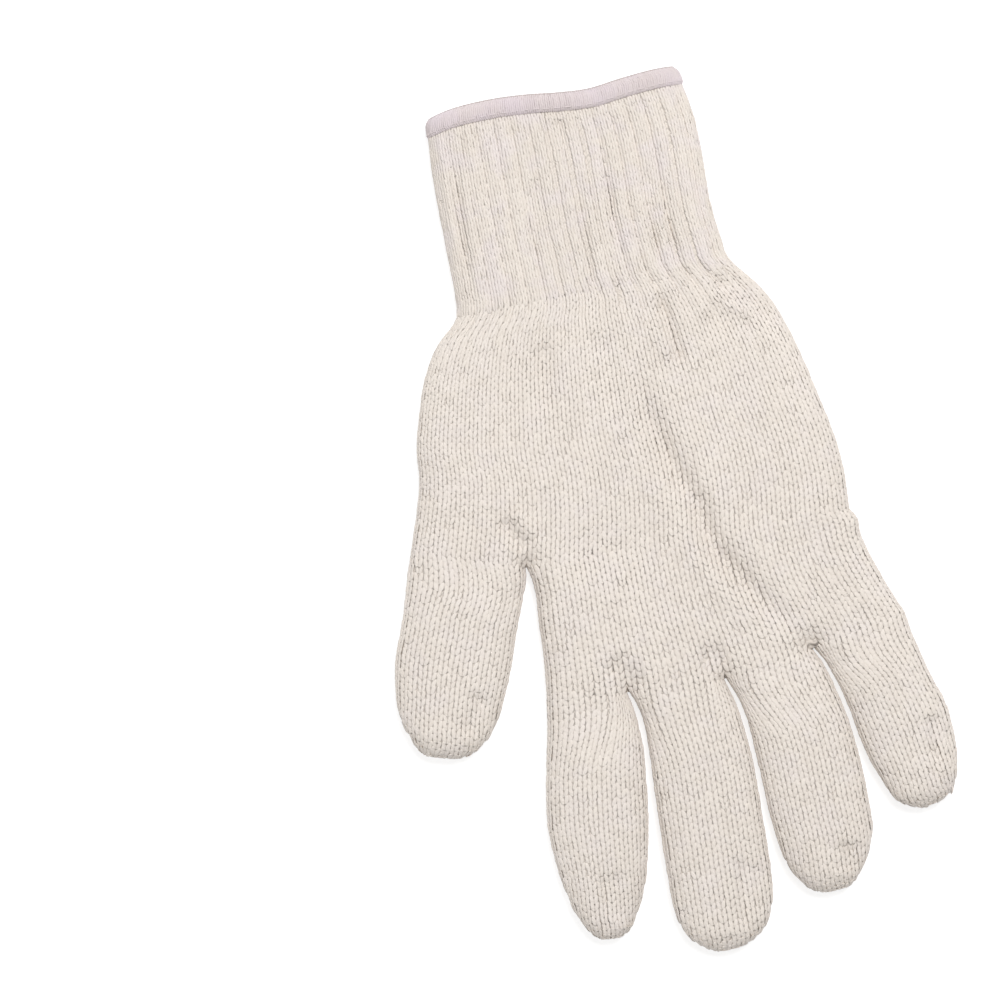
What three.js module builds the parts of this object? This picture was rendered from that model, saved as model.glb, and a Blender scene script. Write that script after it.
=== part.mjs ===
// A seamless string-knit work glove, laid flat on its back with the face of the hand up.
// Millimetres, +Z up, the underside on z = 0. +X runs from the thumb to the little finger and
// +Y from the fingertips to the cuff. While it is modelled, x = 0 is the middle of the cuff and
// y = 0 is the wrist, the course of stitches where the palm meets the cuff. At the end the glove is
// moved so that the middle of its outline lies over the origin.
//
// The glove is a row of flattened tubes, in the order in which a glove of this kind is knitted:
// four fingers, the palm that joins them, the thumb, the palm that takes in the thumb, the cuff,
// and the overlocked hem. Each tube is lofted through rows. A row crosses the tube from its left
// edge to its right edge, and its section is flat below, domed above and round at both sides.
// Neighbouring tubes share the row where they meet and keep JOIN_GAP between them.
import * as THREE from "three";

// Sizes of the knitted cloth
const KNIT_WALL = 2.0;
const CUFF_WALL = 1.9;
const HEM_WALL = 2.2;
const JOIN_GAP = 0.3;

// Heights of the flattened tubes, outside
const PALM_HEIGHT = 10.4;
const FINGER_HEIGHT = 11.6;
const THUMB_HEIGHT = 11.8;
const CUFF_HEIGHT = 10.2;
const HEM_HEIGHT = 11.0;

// Where the widest line of a section lies, as a share of its height, and the roundness of its sides
const SIDE_LINE = 0.46;
const PALM_ROUND_ABOVE = 9;
const ROUND_BELOW = 4.6;
const FINGER_DOME = 0.86;

// Cuff and hem
const CUFF_WIDTH = 78;
const CUFF_LENGTH = 53.6;
const HEM_LENGTH = 5;
const RIB_PITCH = 5;
const RIB_DEPTH = 0.5;

// Palm. The thumb's crotch lies PALM_DROP below the wrist, and the knuckle line KNUCKLE_DROP lower.
const PALM_DROP = 74.3;
const KNUCKLE_DROP = 40;
const PALM_WIDTH = 94.7;
const PALM_OFFSET = 12.85;

// Thumb and fingers. A root is the line where the tube joins the palm: its length is a share of the
// width, and it is turned by rootTurn. lean turns the tube away from the -Y direction.
const THUMB_WIDTH = 33.8;
const THUMB_LENGTH = 57.9;
const INDEX_WIDTH = 29.6;
const INDEX_LENGTH = 70.1;
const MIDDLE_WIDTH = 30.2;
const MIDDLE_LENGTH = 77.6;
const RING_WIDTH = 29.2;
const RING_LENGTH = 68.2;
const LITTLE_WIDTH = 26.8;
const LITTLE_LENGTH = 54.6;

const THUMB = {
  name: "thumb", width: THUMB_WIDTH, length: THUMB_LENGTH, height: THUMB_HEIGHT,
  root: 1.0, rootTurn: -19.8, lean: -16.6,
  outline: [
    { along: 0.08, left: -0.506, right: 0.515 },
    { along: 0.20, left: -0.509, right: 0.497 },
    { along: 0.35, left: -0.515, right: 0.476 },
    { along: 0.50, left: -0.536, right: 0.464 },
    { along: 0.65, left: -0.522, right: 0.433 },
    { along: 0.77, left: -0.482, right: 0.396 },
    { along: 0.85, left: -0.423, right: 0.349 },
    { along: 0.91, left: -0.349, right: 0.284 },
    { along: 0.955, left: -0.276, right: 0.198 },
    { along: 0.985, left: -0.200, right: 0.090 },
  ],
};

const FINGERS = [
  {
    name: "index_finger", width: INDEX_WIDTH, length: INDEX_LENGTH, height: FINGER_HEIGHT,
    root: 0.807, rootTurn: -4.8, lean: -4.7,
    outline: [
      { along: 0.08, left: -0.417, right: 0.456 },
      { along: 0.20, left: -0.456, right: 0.494 },
      { along: 0.35, left: -0.502, right: 0.490 },
      { along: 0.50, left: -0.527, right: 0.473 },
      { along: 0.65, left: -0.493, right: 0.432 },
      { along: 0.77, left: -0.436, right: 0.382 },
      { along: 0.85, left: -0.378, right: 0.321 },
      { along: 0.91, left: -0.311, right: 0.253 },
      { along: 0.955, left: -0.233, right: 0.189 },
      { along: 0.985, left: -0.140, right: 0.085 },
    ],
  },
  {
    name: "middle_finger", width: MIDDLE_WIDTH, length: MIDDLE_LENGTH, height: FINGER_HEIGHT,
    root: 0.928, rootTurn: -3.1, lean: 1.1,
    outline: [
      { along: 0.08, left: -0.400, right: 0.514 },
      { along: 0.20, left: -0.396, right: 0.552 },
      { along: 0.35, left: -0.422, right: 0.568 },
      { along: 0.50, left: -0.447, right: 0.550 },
      { along: 0.65, left: -0.470, right: 0.533 },
      { along: 0.77, left: -0.480, right: 0.510 },
      { along: 0.85, left: -0.467, right: 0.474 },
      { along: 0.91, left: -0.414, right: 0.407 },
      { along: 0.955, left: -0.305, right: 0.295 },
      { along: 0.985, left: -0.180, right: 0.140 },
    ],
  },
  {
    name: "ring_finger", width: RING_WIDTH, length: RING_LENGTH, height: FINGER_HEIGHT,
    root: 0.918, rootTurn: 8.6, lean: 4.0,
    outline: [
      { along: 0.08, left: -0.402, right: 0.534 },
      { along: 0.20, left: -0.362, right: 0.590 },
      { along: 0.35, left: -0.363, right: 0.628 },
      { along: 0.50, left: -0.377, right: 0.630 },
      { along: 0.65, left: -0.385, right: 0.611 },
      { along: 0.77, left: -0.372, right: 0.582 },
      { along: 0.85, left: -0.342, right: 0.514 },
      { along: 0.91, left: -0.274, right: 0.418 },
      { along: 0.955, left: -0.199, right: 0.318 },
      { along: 0.985, left: -0.090, right: 0.223 },
    ],
  },
  {
    name: "little_finger", width: LITTLE_WIDTH, length: LITTLE_LENGTH, height: FINGER_HEIGHT,
    root: 1.067, rootTurn: 10.1, lean: 10.4,
    outline: [
      { along: 0.08, left: -0.478, right: 0.522 },
      { along: 0.20, left: -0.437, right: 0.530 },
      { along: 0.35, left: -0.418, right: 0.547 },
      { along: 0.50, left: -0.425, right: 0.586 },
      { along: 0.65, left: -0.414, right: 0.563 },
      { along: 0.77, left: -0.377, right: 0.515 },
      { along: 0.85, left: -0.343, right: 0.463 },
      { along: 0.91, left: -0.295, right: 0.396 },
      { along: 0.955, left: -0.190, right: 0.317 },
      { along: 0.985, left: -0.080, right: 0.170 },
    ],
  },
];

// A finger rises from the palm's height to its own, and its section turns into a dome, over these
// shares of its length.
const FINGER_RISE = 0.3;
const DOME_RISE = 0.2;

// Where a fingertip starts to flatten towards its end, and what is left of it at the very end
const TIP_ROUND = 7;
const TIP_END = { width: 0.5, height: 0.34 };

// The share of its length over which the cuff comes down from the palm's height to its own
const CUFF_FALL = 0.2;

// The five-finger palm flares from the cuff's width to its own. down runs from the wrist to the
// thumb's crotch, and the flares run from 0 at the wrist to 1 at the thumb line.
const FIVE_FINGER_ROWS = [
  { down: 0.00, leftFlare: 0.000, rightFlare: 0.000 },
  { down: 0.04, leftFlare: 0.086, rightFlare: 0.132 },
  { down: 0.09, leftFlare: 0.234, rightFlare: 0.280 },
  { down: 0.16, leftFlare: 0.367, rightFlare: 0.444 },
  { down: 0.26, leftFlare: 0.500, rightFlare: 0.593 },
  { down: 0.40, leftFlare: 0.620, rightFlare: 0.746 },
  { down: 0.55, leftFlare: 0.723, rightFlare: 0.868 },
  { down: 0.70, leftFlare: 0.766, rightFlare: 0.984 },
  { down: 0.85, leftFlare: 0.871, rightFlare: 1.030 },
  { down: 1.00, leftFlare: 1.000, rightFlare: 1.000 },
];

// The four-finger palm spreads from the thumb line to the knuckle line in the same way.
const FOUR_FINGER_ROWS = [
  { down: 0.00, leftSpread: 0.00, rightSpread: 0.00 },
  { down: 0.10, leftSpread: -0.40, rightSpread: 0.18 },
  { down: 0.22, leftSpread: -0.50, rightSpread: 0.18 },
  { down: 0.40, leftSpread: -0.20, rightSpread: 0.30 },
  { down: 0.60, leftSpread: 0.05, rightSpread: 0.50 },
  { down: 0.76, leftSpread: 0.30, rightSpread: 0.69 },
  { down: 0.89, leftSpread: 0.64, rightSpread: 0.86 },
  { down: 1.00, leftSpread: 1.00, rightSpread: 1.00 },
];

// How the thumb line and the knuckle line lie to the thumb's crotch, as shares of the palm's width,
// and for INDEX_SIDE_SHARE of KNUCKLE_DROP
const LITTLE_SIDE_SHARE = 0.011;
const INDEX_SIDE_FLARE = 0.019;
const INDEX_SIDE_SHARE = 0.968;

// The cuff's edges, as shares of its width, from the wrist to the hem
const CUFF_ROWS = [
  { up: 0.00, left: -0.523, right: 0.529 },
  { up: 0.05, left: -0.516, right: 0.510 },
  { up: 0.14, left: -0.513, right: 0.500 },
  { up: 0.34, left: -0.513, right: 0.486 },
  { up: 0.60, left: -0.513, right: 0.489 },
  { up: 0.82, left: -0.510, right: 0.486 },
  { up: 1.00, left: -0.501, right: 0.467 },
];

// The hem band is round at both rims: full is the share of its height there.
const HEM_ROWS = [
  { up: 0.00, left: -0.501, right: 0.467, full: 0.94 },
  { up: 0.25, left: -0.500, right: 0.466, full: 1.00 },
  { up: 0.75, left: -0.496, right: 0.458, full: 1.00 },
  { up: 1.00, left: -0.488, right: 0.448, full: 0.88 },
];

// The hem line isn't straight: its height over the cuff's length, as shares of the hem's length
const HEM_LINE = [
  { across: 0.00, rise: -0.26 },
  { across: 0.10, rise: 0.00 },
  { across: 0.25, rise: 0.12 },
  { across: 0.40, rise: 0.00 },
  { across: 0.52, rise: -0.22 },
  { across: 0.64, rise: -0.34 },
  { across: 0.78, rise: -0.12 },
  { across: 0.90, rise: 0.02 },
  { across: 1.00, rise: 0.06 },
];

// Folds, dents and gathers of the upper layer. Their ends are given across and down the tube that
// they lie on. depth is a share of the room under the cloth, and reach a share of PALM_WIDTH.
// A negative depth is a swelling.
const PALM_FOLDS = [
  { zone: "five", across: 0.540, down: 0.24, toAcross: 0.570, toDown: 0.45, depth: 0.30, reach: 0.050 },
  { zone: "five", across: 0.570, down: 0.45, toAcross: 0.585, toDown: 0.62, depth: 0.34, reach: 0.052 },
  { zone: "five", across: 0.585, down: 0.62, toAcross: 0.620, toDown: 0.92, depth: 0.34, reach: 0.052 },
  { zone: "four", across: 0.520, down: 0.00, toAcross: 0.560, toDown: 0.35, depth: 0.32, reach: 0.050 },
  { zone: "four", across: 0.560, down: 0.35, toAcross: 0.640, toDown: 0.72, depth: 0.30, reach: 0.046 },
  { zone: "five", across: 0.655, down: 0.11, toAcross: 0.680, toDown: 0.20, depth: 0.46, reach: 0.024 },
  { zone: "five", across: 0.680, down: 0.20, toAcross: 0.683, toDown: 0.35, depth: 0.48, reach: 0.024 },
  { zone: "five", across: 0.455, down: 0.10, toAcross: 0.450, toDown: 0.30, depth: 0.24, reach: 0.034 },
  { zone: "five", across: 0.310, down: 0.16, toAcross: 0.330, toDown: 0.42, depth: 0.24, reach: 0.038 },
  { zone: "five", across: 0.880, down: 0.04, toAcross: 0.890, toDown: 0.13, depth: 0.30, reach: 0.026 },
  { zone: "five", across: 0.890, down: 0.13, toAcross: 0.915, toDown: 0.27, depth: 0.24, reach: 0.030 },
  { zone: "five", across: 0.170, down: 0.05, toAcross: 0.160, toDown: 0.20, depth: 0.20, reach: 0.030 },
  { zone: "five", across: 0.225, down: 0.83, toAcross: 0.250, toDown: 0.95, depth: 0.50, reach: 0.030 },
  { zone: "five", across: 0.240, down: 0.50, toAcross: 0.200, toDown: 0.75, depth: -0.14, reach: 0.090 },
  { zone: "five", across: 0.800, down: 0.45, toAcross: 0.820, toDown: 0.85, depth: -0.14, reach: 0.090 },
];

const CUFF_FOLDS = [
  { across: 0.055, down: 0.05, toAcross: 0.052, toDown: 1.00, depth: 0.50, reach: 0.016 },
  { across: 0.105, down: 0.55, toAcross: 0.108, toDown: 1.00, depth: 0.30, reach: 0.018 },
  { across: 0.435, down: 0.00, toAcross: 0.438, toDown: 0.90, depth: 0.24, reach: 0.022 },
  { across: 0.530, down: 0.40, toAcross: 0.527, toDown: 0.85, depth: 0.36, reach: 0.016 },
  { across: 0.712, down: 0.00, toAcross: 0.708, toDown: 0.60, depth: 0.30, reach: 0.022 },
  { across: 0.885, down: 0.05, toAcross: 0.880, toDown: 0.80, depth: 0.24, reach: 0.020 },
];

// Dimples beside the closing of each tip, across and along the finger
const TIP_FOLDS = {
  thumb: [
    { across: 0.78, down: 0.76, toAcross: 0.86, toDown: 0.92, depth: 0.50, reach: 0.026 },
  ],
  index_finger: [
    { across: 0.46, down: 0.78, toAcross: 0.46, toDown: 0.94, depth: 0.46, reach: 0.024 },
    { across: 0.76, down: 0.86, toAcross: 0.62, toDown: 0.95, depth: 0.40, reach: 0.022 },
  ],
  middle_finger: [
    { across: 0.62, down: 0.78, toAcross: 0.60, toDown: 0.93, depth: 0.48, reach: 0.026 },
  ],
  ring_finger: [
    { across: 0.62, down: 0.80, toAcross: 0.72, toDown: 0.93, depth: 0.46, reach: 0.026 },
  ],
  little_finger: [
    { across: 0.80, down: 0.72, toAcross: 0.74, toDown: 0.93, depth: 0.48, reach: 0.026 },
  ],
};

// The hollow where two tubes part, as a share of the room under the cloth
const CROTCH_DEPTH = 0.9;

// How finely the sections are divided, on each side. The palm's counts are given between the
// points where its tubes part: at the thumb's crotch, and at the three crotches of the fingers.
const FINGER_SIDES = 9;
const HEM_SIDES = 18;
const FIVE_FINGER_SIDES = { above: [9, 23], below: [4, 10] };
const FOUR_FINGER_SIDES = { above: [7, 8, 7, 7], below: [3, 3, 3, 3] };
const CURVE_STEPS = 10;
const FLAT_STEPS = 24;
const POINTS_PER_RIB = 3;

const DEGREES = Math.PI / 180;

function turned(point, degrees, distance) {
  const angle = degrees * DEGREES;
  return { x: point.x + Math.cos(angle) * distance, y: point.y + Math.sin(angle) * distance };
}

function mix(a, b, share) {
  return a + (b - a) * share;
}

function mixPoints(a, b, share) {
  return { x: mix(a.x, b.x, share), y: mix(a.y, b.y, share) };
}

// The value of a column of a table at a place between its rows
function lookUp(table, key, place, column) {
  const last = table.length - 1;
  let index = 0;
  while (index < last - 1 && table[index + 1][key] < place) {
    index += 1;
  }
  const from = table[index];
  const to = table[index + 1];
  const share = (place - from[key]) / (to[key] - from[key]);
  return mix(from[column], to[column], Math.min(Math.max(share, 0), 1));
}

// Plan of the glove: the points where its tubes meet, worked out from the wrist down
const crotch = { x: PALM_OFFSET - PALM_WIDTH / 2, y: -PALM_DROP };
const palmRight = { x: PALM_OFFSET + PALM_WIDTH / 2, y: crotch.y - PALM_WIDTH * LITTLE_SIDE_SHARE };
const thumbOuter = turned(crotch, 180 + THUMB.rootTurn, THUMB.width * THUMB.root);
const knuckles = [
  { x: crotch.x - PALM_WIDTH * INDEX_SIDE_FLARE, y: crotch.y - KNUCKLE_DROP * INDEX_SIDE_SHARE },
];
for (const finger of FINGERS) {
  knuckles.push(turned(knuckles[knuckles.length - 1], finger.rootTurn, finger.width * finger.root));
}
const knuckleRight = knuckles[knuckles.length - 1];

// A point of the hem line, up from the wrist
function hemPlace(across) {
  return CUFF_LENGTH + HEM_LENGTH * lookUp(HEM_LINE, "across", across, "rise");
}

// Each zone is a plan: it gives the point at a share across a tube and a share down it.
function fiveFingerEdges(down) {
  const leftFlare = lookUp(FIVE_FINGER_ROWS, "down", down, "leftFlare");
  const rightFlare = lookUp(FIVE_FINGER_ROWS, "down", down, "rightFlare");
  return {
    left: { x: mix(CUFF_WIDTH * CUFF_ROWS[0].left, thumbOuter.x, leftFlare), y: thumbOuter.y * down },
    right: { x: mix(CUFF_WIDTH * CUFF_ROWS[0].right, palmRight.x, rightFlare), y: palmRight.y * down },
  };
}

const crotchAcross = (crotch.x - thumbOuter.x) / (palmRight.x - thumbOuter.x);

function fiveFingerPlan(across, down) {
  const { left, right } = fiveFingerEdges(down);
  const atCrotch = { x: mix(left.x, right.x, crotchAcross), y: crotch.y * down };
  if (across < crotchAcross) {
    return mixPoints(left, atCrotch, across / crotchAcross);
  }
  return mixPoints(atCrotch, right, (across - crotchAcross) / (1 - crotchAcross));
}

const knuckleAcross = knuckles.map(
  (point) => (point.x - knuckles[0].x) / (knuckleRight.x - knuckles[0].x));

function fourFingerPlan(across, down) {
  const leftSpread = lookUp(FOUR_FINGER_ROWS, "down", down, "leftSpread");
  const rightSpread = lookUp(FOUR_FINGER_ROWS, "down", down, "rightSpread");
  const x = mix(
    mix(crotch.x + JOIN_GAP / 2, knuckles[0].x, leftSpread),
    mix(palmRight.x, knuckleRight.x, rightSpread),
    across);
  let finger = 0;
  while (finger < FINGERS.length - 1 && across > knuckleAcross[finger + 1]) {
    finger += 1;
  }
  const share = (across - knuckleAcross[finger]) / (knuckleAcross[finger + 1] - knuckleAcross[finger]);
  const knuckleY = mix(knuckles[finger].y, knuckles[finger + 1].y, share);
  return { x, y: mix(mix(crotch.y, palmRight.y, across) - JOIN_GAP, knuckleY, down) };
}

function cuffPlan(across, up) {
  const left = CUFF_WIDTH * lookUp(CUFF_ROWS, "up", up, "left");
  const right = CUFF_WIDTH * lookUp(CUFF_ROWS, "up", up, "right");
  return { x: mix(left, right, across), y: hemPlace(across) * up };
}

// A finger's own frame starts at the middle of its root and runs along its lean.
function fingerFrame(finger, rootLeft, rootRight) {
  const middle = mixPoints(rootLeft, rootRight, 0.5);
  const angle = finger.lean * DEGREES;
  return (sideways, along) => ({
    x: middle.x + Math.cos(angle) * sideways + Math.sin(angle) * along,
    y: middle.y + Math.sin(angle) * sideways - Math.cos(angle) * along,
  });
}

function fingerPlan(finger, rootLeft, rootRight) {
  const place = fingerFrame(finger, rootLeft, rootRight);
  const rows = finger.outline;
  const end = rows[rows.length - 1];
  const middle = (end.left + end.right) / 2;
  const half = (end.right - end.left) / 2 * TIP_END.width;
  const outline = [...rows, { along: 1, left: middle - half, right: middle + half }];
  return (across, along) => {
    if (along < rows[0].along) {
      const first = rows[0];
      const left = place(first.left * finger.width, first.along * finger.length);
      const right = place(first.right * finger.width, first.along * finger.length);
      const share = along / first.along;
      return mixPoints(mixPoints(rootLeft, left, share), mixPoints(rootRight, right, share), across);
    }
    const left = lookUp(outline, "along", along, "left") * finger.width;
    const right = lookUp(outline, "along", along, "right") * finger.width;
    return place(mix(left, right, across), along * finger.length);
  };
}

// The roots of neighbouring tubes stand JOIN_GAP apart, and so does a root from the palm.
function fingerRoots(left, right, lean) {
  const width = Math.hypot(right.x - left.x, right.y - left.y);
  const side = JOIN_GAP / 2 / width;
  const angle = lean * DEGREES;
  const lower = (point) => ({
    x: point.x + Math.sin(angle) * JOIN_GAP,
    y: point.y - Math.cos(angle) * JOIN_GAP,
  });
  return { left: lower(mixPoints(left, right, side)), right: lower(mixPoints(left, right, 1 - side)) };
}

const zones = { five: fiveFingerPlan, four: fourFingerPlan, cuff: cuffPlan };
const thumbRoots = fingerRoots(thumbOuter, crotch, THUMB.lean);
zones[THUMB.name] = fingerPlan(THUMB, thumbRoots.left, thumbRoots.right);
FINGERS.forEach((finger, index) => {
  const roots = fingerRoots(knuckles[index], knuckles[index + 1], finger.lean);
  zones[finger.name] = fingerPlan(finger, roots.left, roots.right);
});

// How deep the upper layer is pressed in at a point of the plan, as a share of the room under it
function segmentDistance(point, from, to) {
  const length2 = (to.x - from.x) ** 2 + (to.y - from.y) ** 2;
  const share = ((point.x - from.x) * (to.x - from.x) + (point.y - from.y) * (to.y - from.y)) / length2;
  const nearest = mixPoints(from, to, Math.min(Math.max(share, 0), 1));
  return Math.hypot(point.x - nearest.x, point.y - nearest.y);
}

function makeDents(folds, ownZone) {
  const placed = folds.map((fold) => ({
    from: zones[fold.zone ?? ownZone](fold.across, fold.down),
    to: zones[fold.zone ?? ownZone](fold.toAcross, fold.toDown),
    depth: fold.depth,
    reach: fold.reach * PALM_WIDTH,
  }));
  return (point) => {
    let valley = 0;
    let swelling = 0;
    for (const fold of placed) {
      const distance = segmentDistance(point, fold.from, fold.to);
      const depth = fold.depth * Math.exp(-((distance / fold.reach) ** 2));
      valley = Math.max(valley, depth);
      swelling = Math.min(swelling, depth);
    }
    return valley + swelling;
  };
}

// Where two tubes part, both layers curve towards the side line, as they do at any other edge.
function crotchDent(point, round) {
  let dent = 0;
  for (const parting of [crotch, ...knuckles.slice(1, -1)]) {
    const distance = Math.hypot(point.x - parting.x, point.y - parting.y) / round;
    if (distance < 1) {
      dent = Math.max(dent, CROTCH_DEPTH * (1 - Math.sqrt(1 - (1 - distance) ** 2)));
    }
  }
  return dent;
}

// One side of a section, from its left side line to its right one, as places across the row and
// heights over or under the side line. inset draws it inwards by that much.
function sectionSide(half, reach, round, inset) {
  const innerHalf = half - inset;
  const innerReach = reach - inset;
  const innerRound = Math.min(Math.max(round - inset, round / 3), innerHalf);
  const side = [];
  for (let step = 0; step <= CURVE_STEPS; step += 1) {
    const angle = (step / CURVE_STEPS) * Math.PI / 2;
    side.push([-innerHalf + innerRound * (1 - Math.cos(angle)), innerReach * Math.sin(angle)]);
  }
  const flat = innerHalf - innerRound;
  for (let step = 1; step < FLAT_STEPS; step += 1) {
    side.push([mix(-flat, flat, step / FLAT_STEPS), innerReach]);
  }
  for (let step = CURVE_STEPS; step >= 0; step -= 1) {
    const angle = (step / CURVE_STEPS) * Math.PI / 2;
    side.push([innerHalf - innerRound * (1 - Math.cos(angle)), innerReach * Math.sin(angle)]);
  }
  return side;
}

// Points at even distances along a section's side, with one exactly at each stop across the row
function spread(side, half, stops, counts) {
  const lengths = [0];
  for (let index = 1; index < side.length; index += 1) {
    const step = Math.hypot(side[index][0] - side[index - 1][0], side[index][1] - side[index - 1][1]);
    lengths.push(lengths[index - 1] + step);
  }
  const last = side.length - 1;
  const lengthAt = (across) => {
    const place = mix(-half, half, across);
    let index = 1;
    while (index < last && side[index][0] < place) {
      index += 1;
    }
    const share = (place - side[index - 1][0]) / (side[index][0] - side[index - 1][0]);
    return mix(lengths[index - 1], lengths[index], share);
  };
  const pointAt = (length) => {
    let index = 1;
    while (index < last && lengths[index] < length) {
      index += 1;
    }
    const share = (length - lengths[index - 1]) / (lengths[index] - lengths[index - 1]);
    return {
      sideways: mix(side[index - 1][0], side[index][0], share),
      rise: mix(side[index - 1][1], side[index][1], share),
    };
  };
  const marks = [0, ...stops.map(lengthAt), lengths[last]];
  const points = [];
  counts.forEach((count, part) => {
    for (let step = 0; step < count; step += 1) {
      points.push(pointAt(mix(marks[part], marks[part + 1], step / count)));
    }
  });
  points.push(pointAt(lengths[last]));
  return points;
}

// One ring of a tube: the lower layer from left to right, then the upper layer back to the left.
// wall is 0 for the outside and the cloth's thickness for the inside.
function makeRing(tube, down, full, wall) {
  const left = tube.plan(0, down);
  const right = tube.plan(1, down);
  const half = Math.hypot(right.x - left.x, right.y - left.y) / 2;
  const height = tube.height(down);
  const sideLine = height * SIDE_LINE;
  const ring = [];
  for (const upper of [false, true]) {
    const reach = upper ? height - sideLine : sideLine;
    const round = Math.min(upper ? tube.roundAbove(down, half) : ROUND_BELOW, half);
    const side = sectionSide(half, reach, round, wall);
    const points = spread(side, half, tube.stops, upper ? tube.above : tube.below);
    if (upper) {
      points.reverse();
    }
    points.pop();
    for (const { sideways, rise } of points) {
      const plan = tube.plan((sideways + half) / (2 * half), down);
      const lift = rise / (reach - wall);
      const dent = upper ? tube.dentAbove(plan) : tube.dentBelow(plan);
      const cloth = wall > 0 ? 0 : tube.wall;
      const away = lift * (cloth + (reach - tube.wall) * (1 - dent)) * full;
      ring.push(new THREE.Vector3(plan.x, plan.y, upper ? sideLine + away : sideLine - away));
    }
  }
  return ring;
}

// A tube's solid: its outside, its inside, and the rims or caps that join them
function makeTube(tube) {
  const outer = tube.rows.map((row) => makeRing(tube, row.down, row.full, 0));
  const innerRows = tube.rows.filter((row) => row.inside);
  const inner = innerRows.map((row) => makeRing(tube, row.inside.down, row.inside.full, tube.wall));
  if (tube.groove) {
    tube.rows.forEach((row, index) => {
      const lining = makeRing(tube, row.down, row.full, tube.wall);
      outer[index].forEach((point, place) => point.lerp(lining[place], tube.groove(place)));
    });
  }
  const count = outer[0].length;
  const positions = [];
  const rings = [...outer, ...inner];
  for (const ring of rings) {
    for (const point of ring) {
      positions.push(point.x, point.y, point.z);
    }
  }
  const faces = [];
  const quad = (a, b, c, d) => {
    faces.push(a, b, c, a, c, d);
  };
  const band = (first, second, turn) => {
    for (let place = 0; place < count; place += 1) {
      const next = (place + 1) % count;
      const corners = [first + place, first + next, second + next, second + place];
      quad(...(turn ? corners.reverse() : corners));
    }
  };
  const cap = (start, turn) => {
    const half = count / 2;
    for (let place = 0; place < half; place += 1) {
      const corners = [
        start + place, start + place + 1, start + (count - place - 1), start + ((count - place) % count),
      ];
      const kept = corners.filter((corner, index) => corners.indexOf(corner) === index);
      if (turn) {
        kept.reverse();
      }
      faces.push(kept[0], kept[1], kept[2]);
      if (kept.length === 4) {
        faces.push(kept[0], kept[2], kept[3]);
      }
    }
  };
  const innerStart = outer.length * count;
  for (let index = 0; index + 1 < outer.length; index += 1) {
    band(index * count, (index + 1) * count, false);
  }
  for (let index = 0; index + 1 < inner.length; index += 1) {
    band(innerStart + index * count, innerStart + (index + 1) * count, true);
  }
  band(0, innerStart, true);
  const outerEnd = (outer.length - 1) * count;
  const innerEnd = innerStart + (inner.length - 1) * count;
  if (tube.closed) {
    cap(outerEnd, false);
    cap(innerEnd, true);
  } else {
    band(outerEnd, innerEnd, false);
  }
  const geometry = new THREE.BufferGeometry();
  geometry.setAttribute("position", new THREE.Float32BufferAttribute(positions, 3));
  geometry.setIndex(signedVolume(positions, faces) < 0 ? faces.reverse() : faces);
  geometry.computeVertexNormals();
  return geometry;
}

function signedVolume(positions, faces) {
  const corner = (index) => new THREE.Vector3().fromArray(positions, index * 3);
  let volume = 0;
  for (let index = 0; index < faces.length; index += 3) {
    const [a, b, c] = [corner(faces[index]), corner(faces[index + 1]), corner(faces[index + 2])];
    volume += a.dot(b.cross(c)) / 6;
  }
  return volume;
}

// Rows of an open tube. The inside has every second one, and both ends.
function openRows(places) {
  return places.map((down, index) => {
    const kept = index % 2 === 0 || index === places.length - 1;
    return { down, full: 1, inside: kept ? { down, full: 1 } : null };
  });
}

// Rows of a finger. Towards its end the section flattens as a ball does, and the inside stops one
// wall short of the outside.
function fingerRows(finger) {
  const places = [0, ...finger.outline.map((row) => row.along), 1];
  return places.map((down) => {
    const fromEnd = (1 - down) * finger.length;
    const bend = Math.max(1 - fromEnd / TIP_ROUND, 0);
    const full = Math.max(Math.sqrt(1 - bend ** 2), TIP_END.height);
    return { down, full, inside: { down: down * (1 - KNIT_WALL / finger.length), full } };
  });
}

function fingerTube(finger) {
  return {
    plan: zones[finger.name],
    rows: fingerRows(finger),
    wall: KNIT_WALL,
    height: (down) => mix(PALM_HEIGHT, finger.height, Math.min(down / FINGER_RISE, 1)),
    roundAbove: (down, half) =>
      mix(PALM_ROUND_ABOVE, half * FINGER_DOME, Math.min(down / DOME_RISE, 1)),
    stops: [],
    above: [FINGER_SIDES],
    below: [FINGER_SIDES],
    dentAbove: makeDents(TIP_FOLDS[finger.name], finger.name),
    dentBelow: () => 0,
    closed: true,
  };
}

const palmDents = makeDents(PALM_FOLDS);

function palmTube(zone, table, stops, sides) {
  return {
    plan: zones[zone],
    rows: openRows(table.map((row) => row.down)),
    wall: KNIT_WALL,
    height: () => PALM_HEIGHT,
    roundAbove: () => PALM_ROUND_ABOVE,
    stops,
    above: sides.above,
    below: sides.below,
    dentAbove: (point) => Math.max(palmDents(point), crotchDent(point, PALM_ROUND_ABOVE)),
    dentBelow: (point) => crotchDent(point, ROUND_BELOW),
  };
}

const ribsAcross = Math.round(CUFF_WIDTH / RIB_PITCH);
const cuffPoints = ribsAcross * POINTS_PER_RIB;

const cuffTube = {
  plan: (across, up) => {
    const point = zones.cuff(across, up);
    return { x: point.x, y: mix(JOIN_GAP, point.y, up) };
  },
  rows: openRows(CUFF_ROWS.map((row) => row.up)),
  wall: CUFF_WALL,
  height: (up) => mix(PALM_HEIGHT, CUFF_HEIGHT, Math.min(up / CUFF_FALL, 1)),
  roundAbove: () => PALM_ROUND_ABOVE,
  stops: [],
  above: [cuffPoints],
  below: [cuffPoints],
  dentAbove: makeDents(CUFF_FOLDS, "cuff"),
  dentBelow: () => 0,
  groove: (place) => (place % POINTS_PER_RIB === 0 ? RIB_DEPTH / CUFF_WALL : 0),
};

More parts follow.
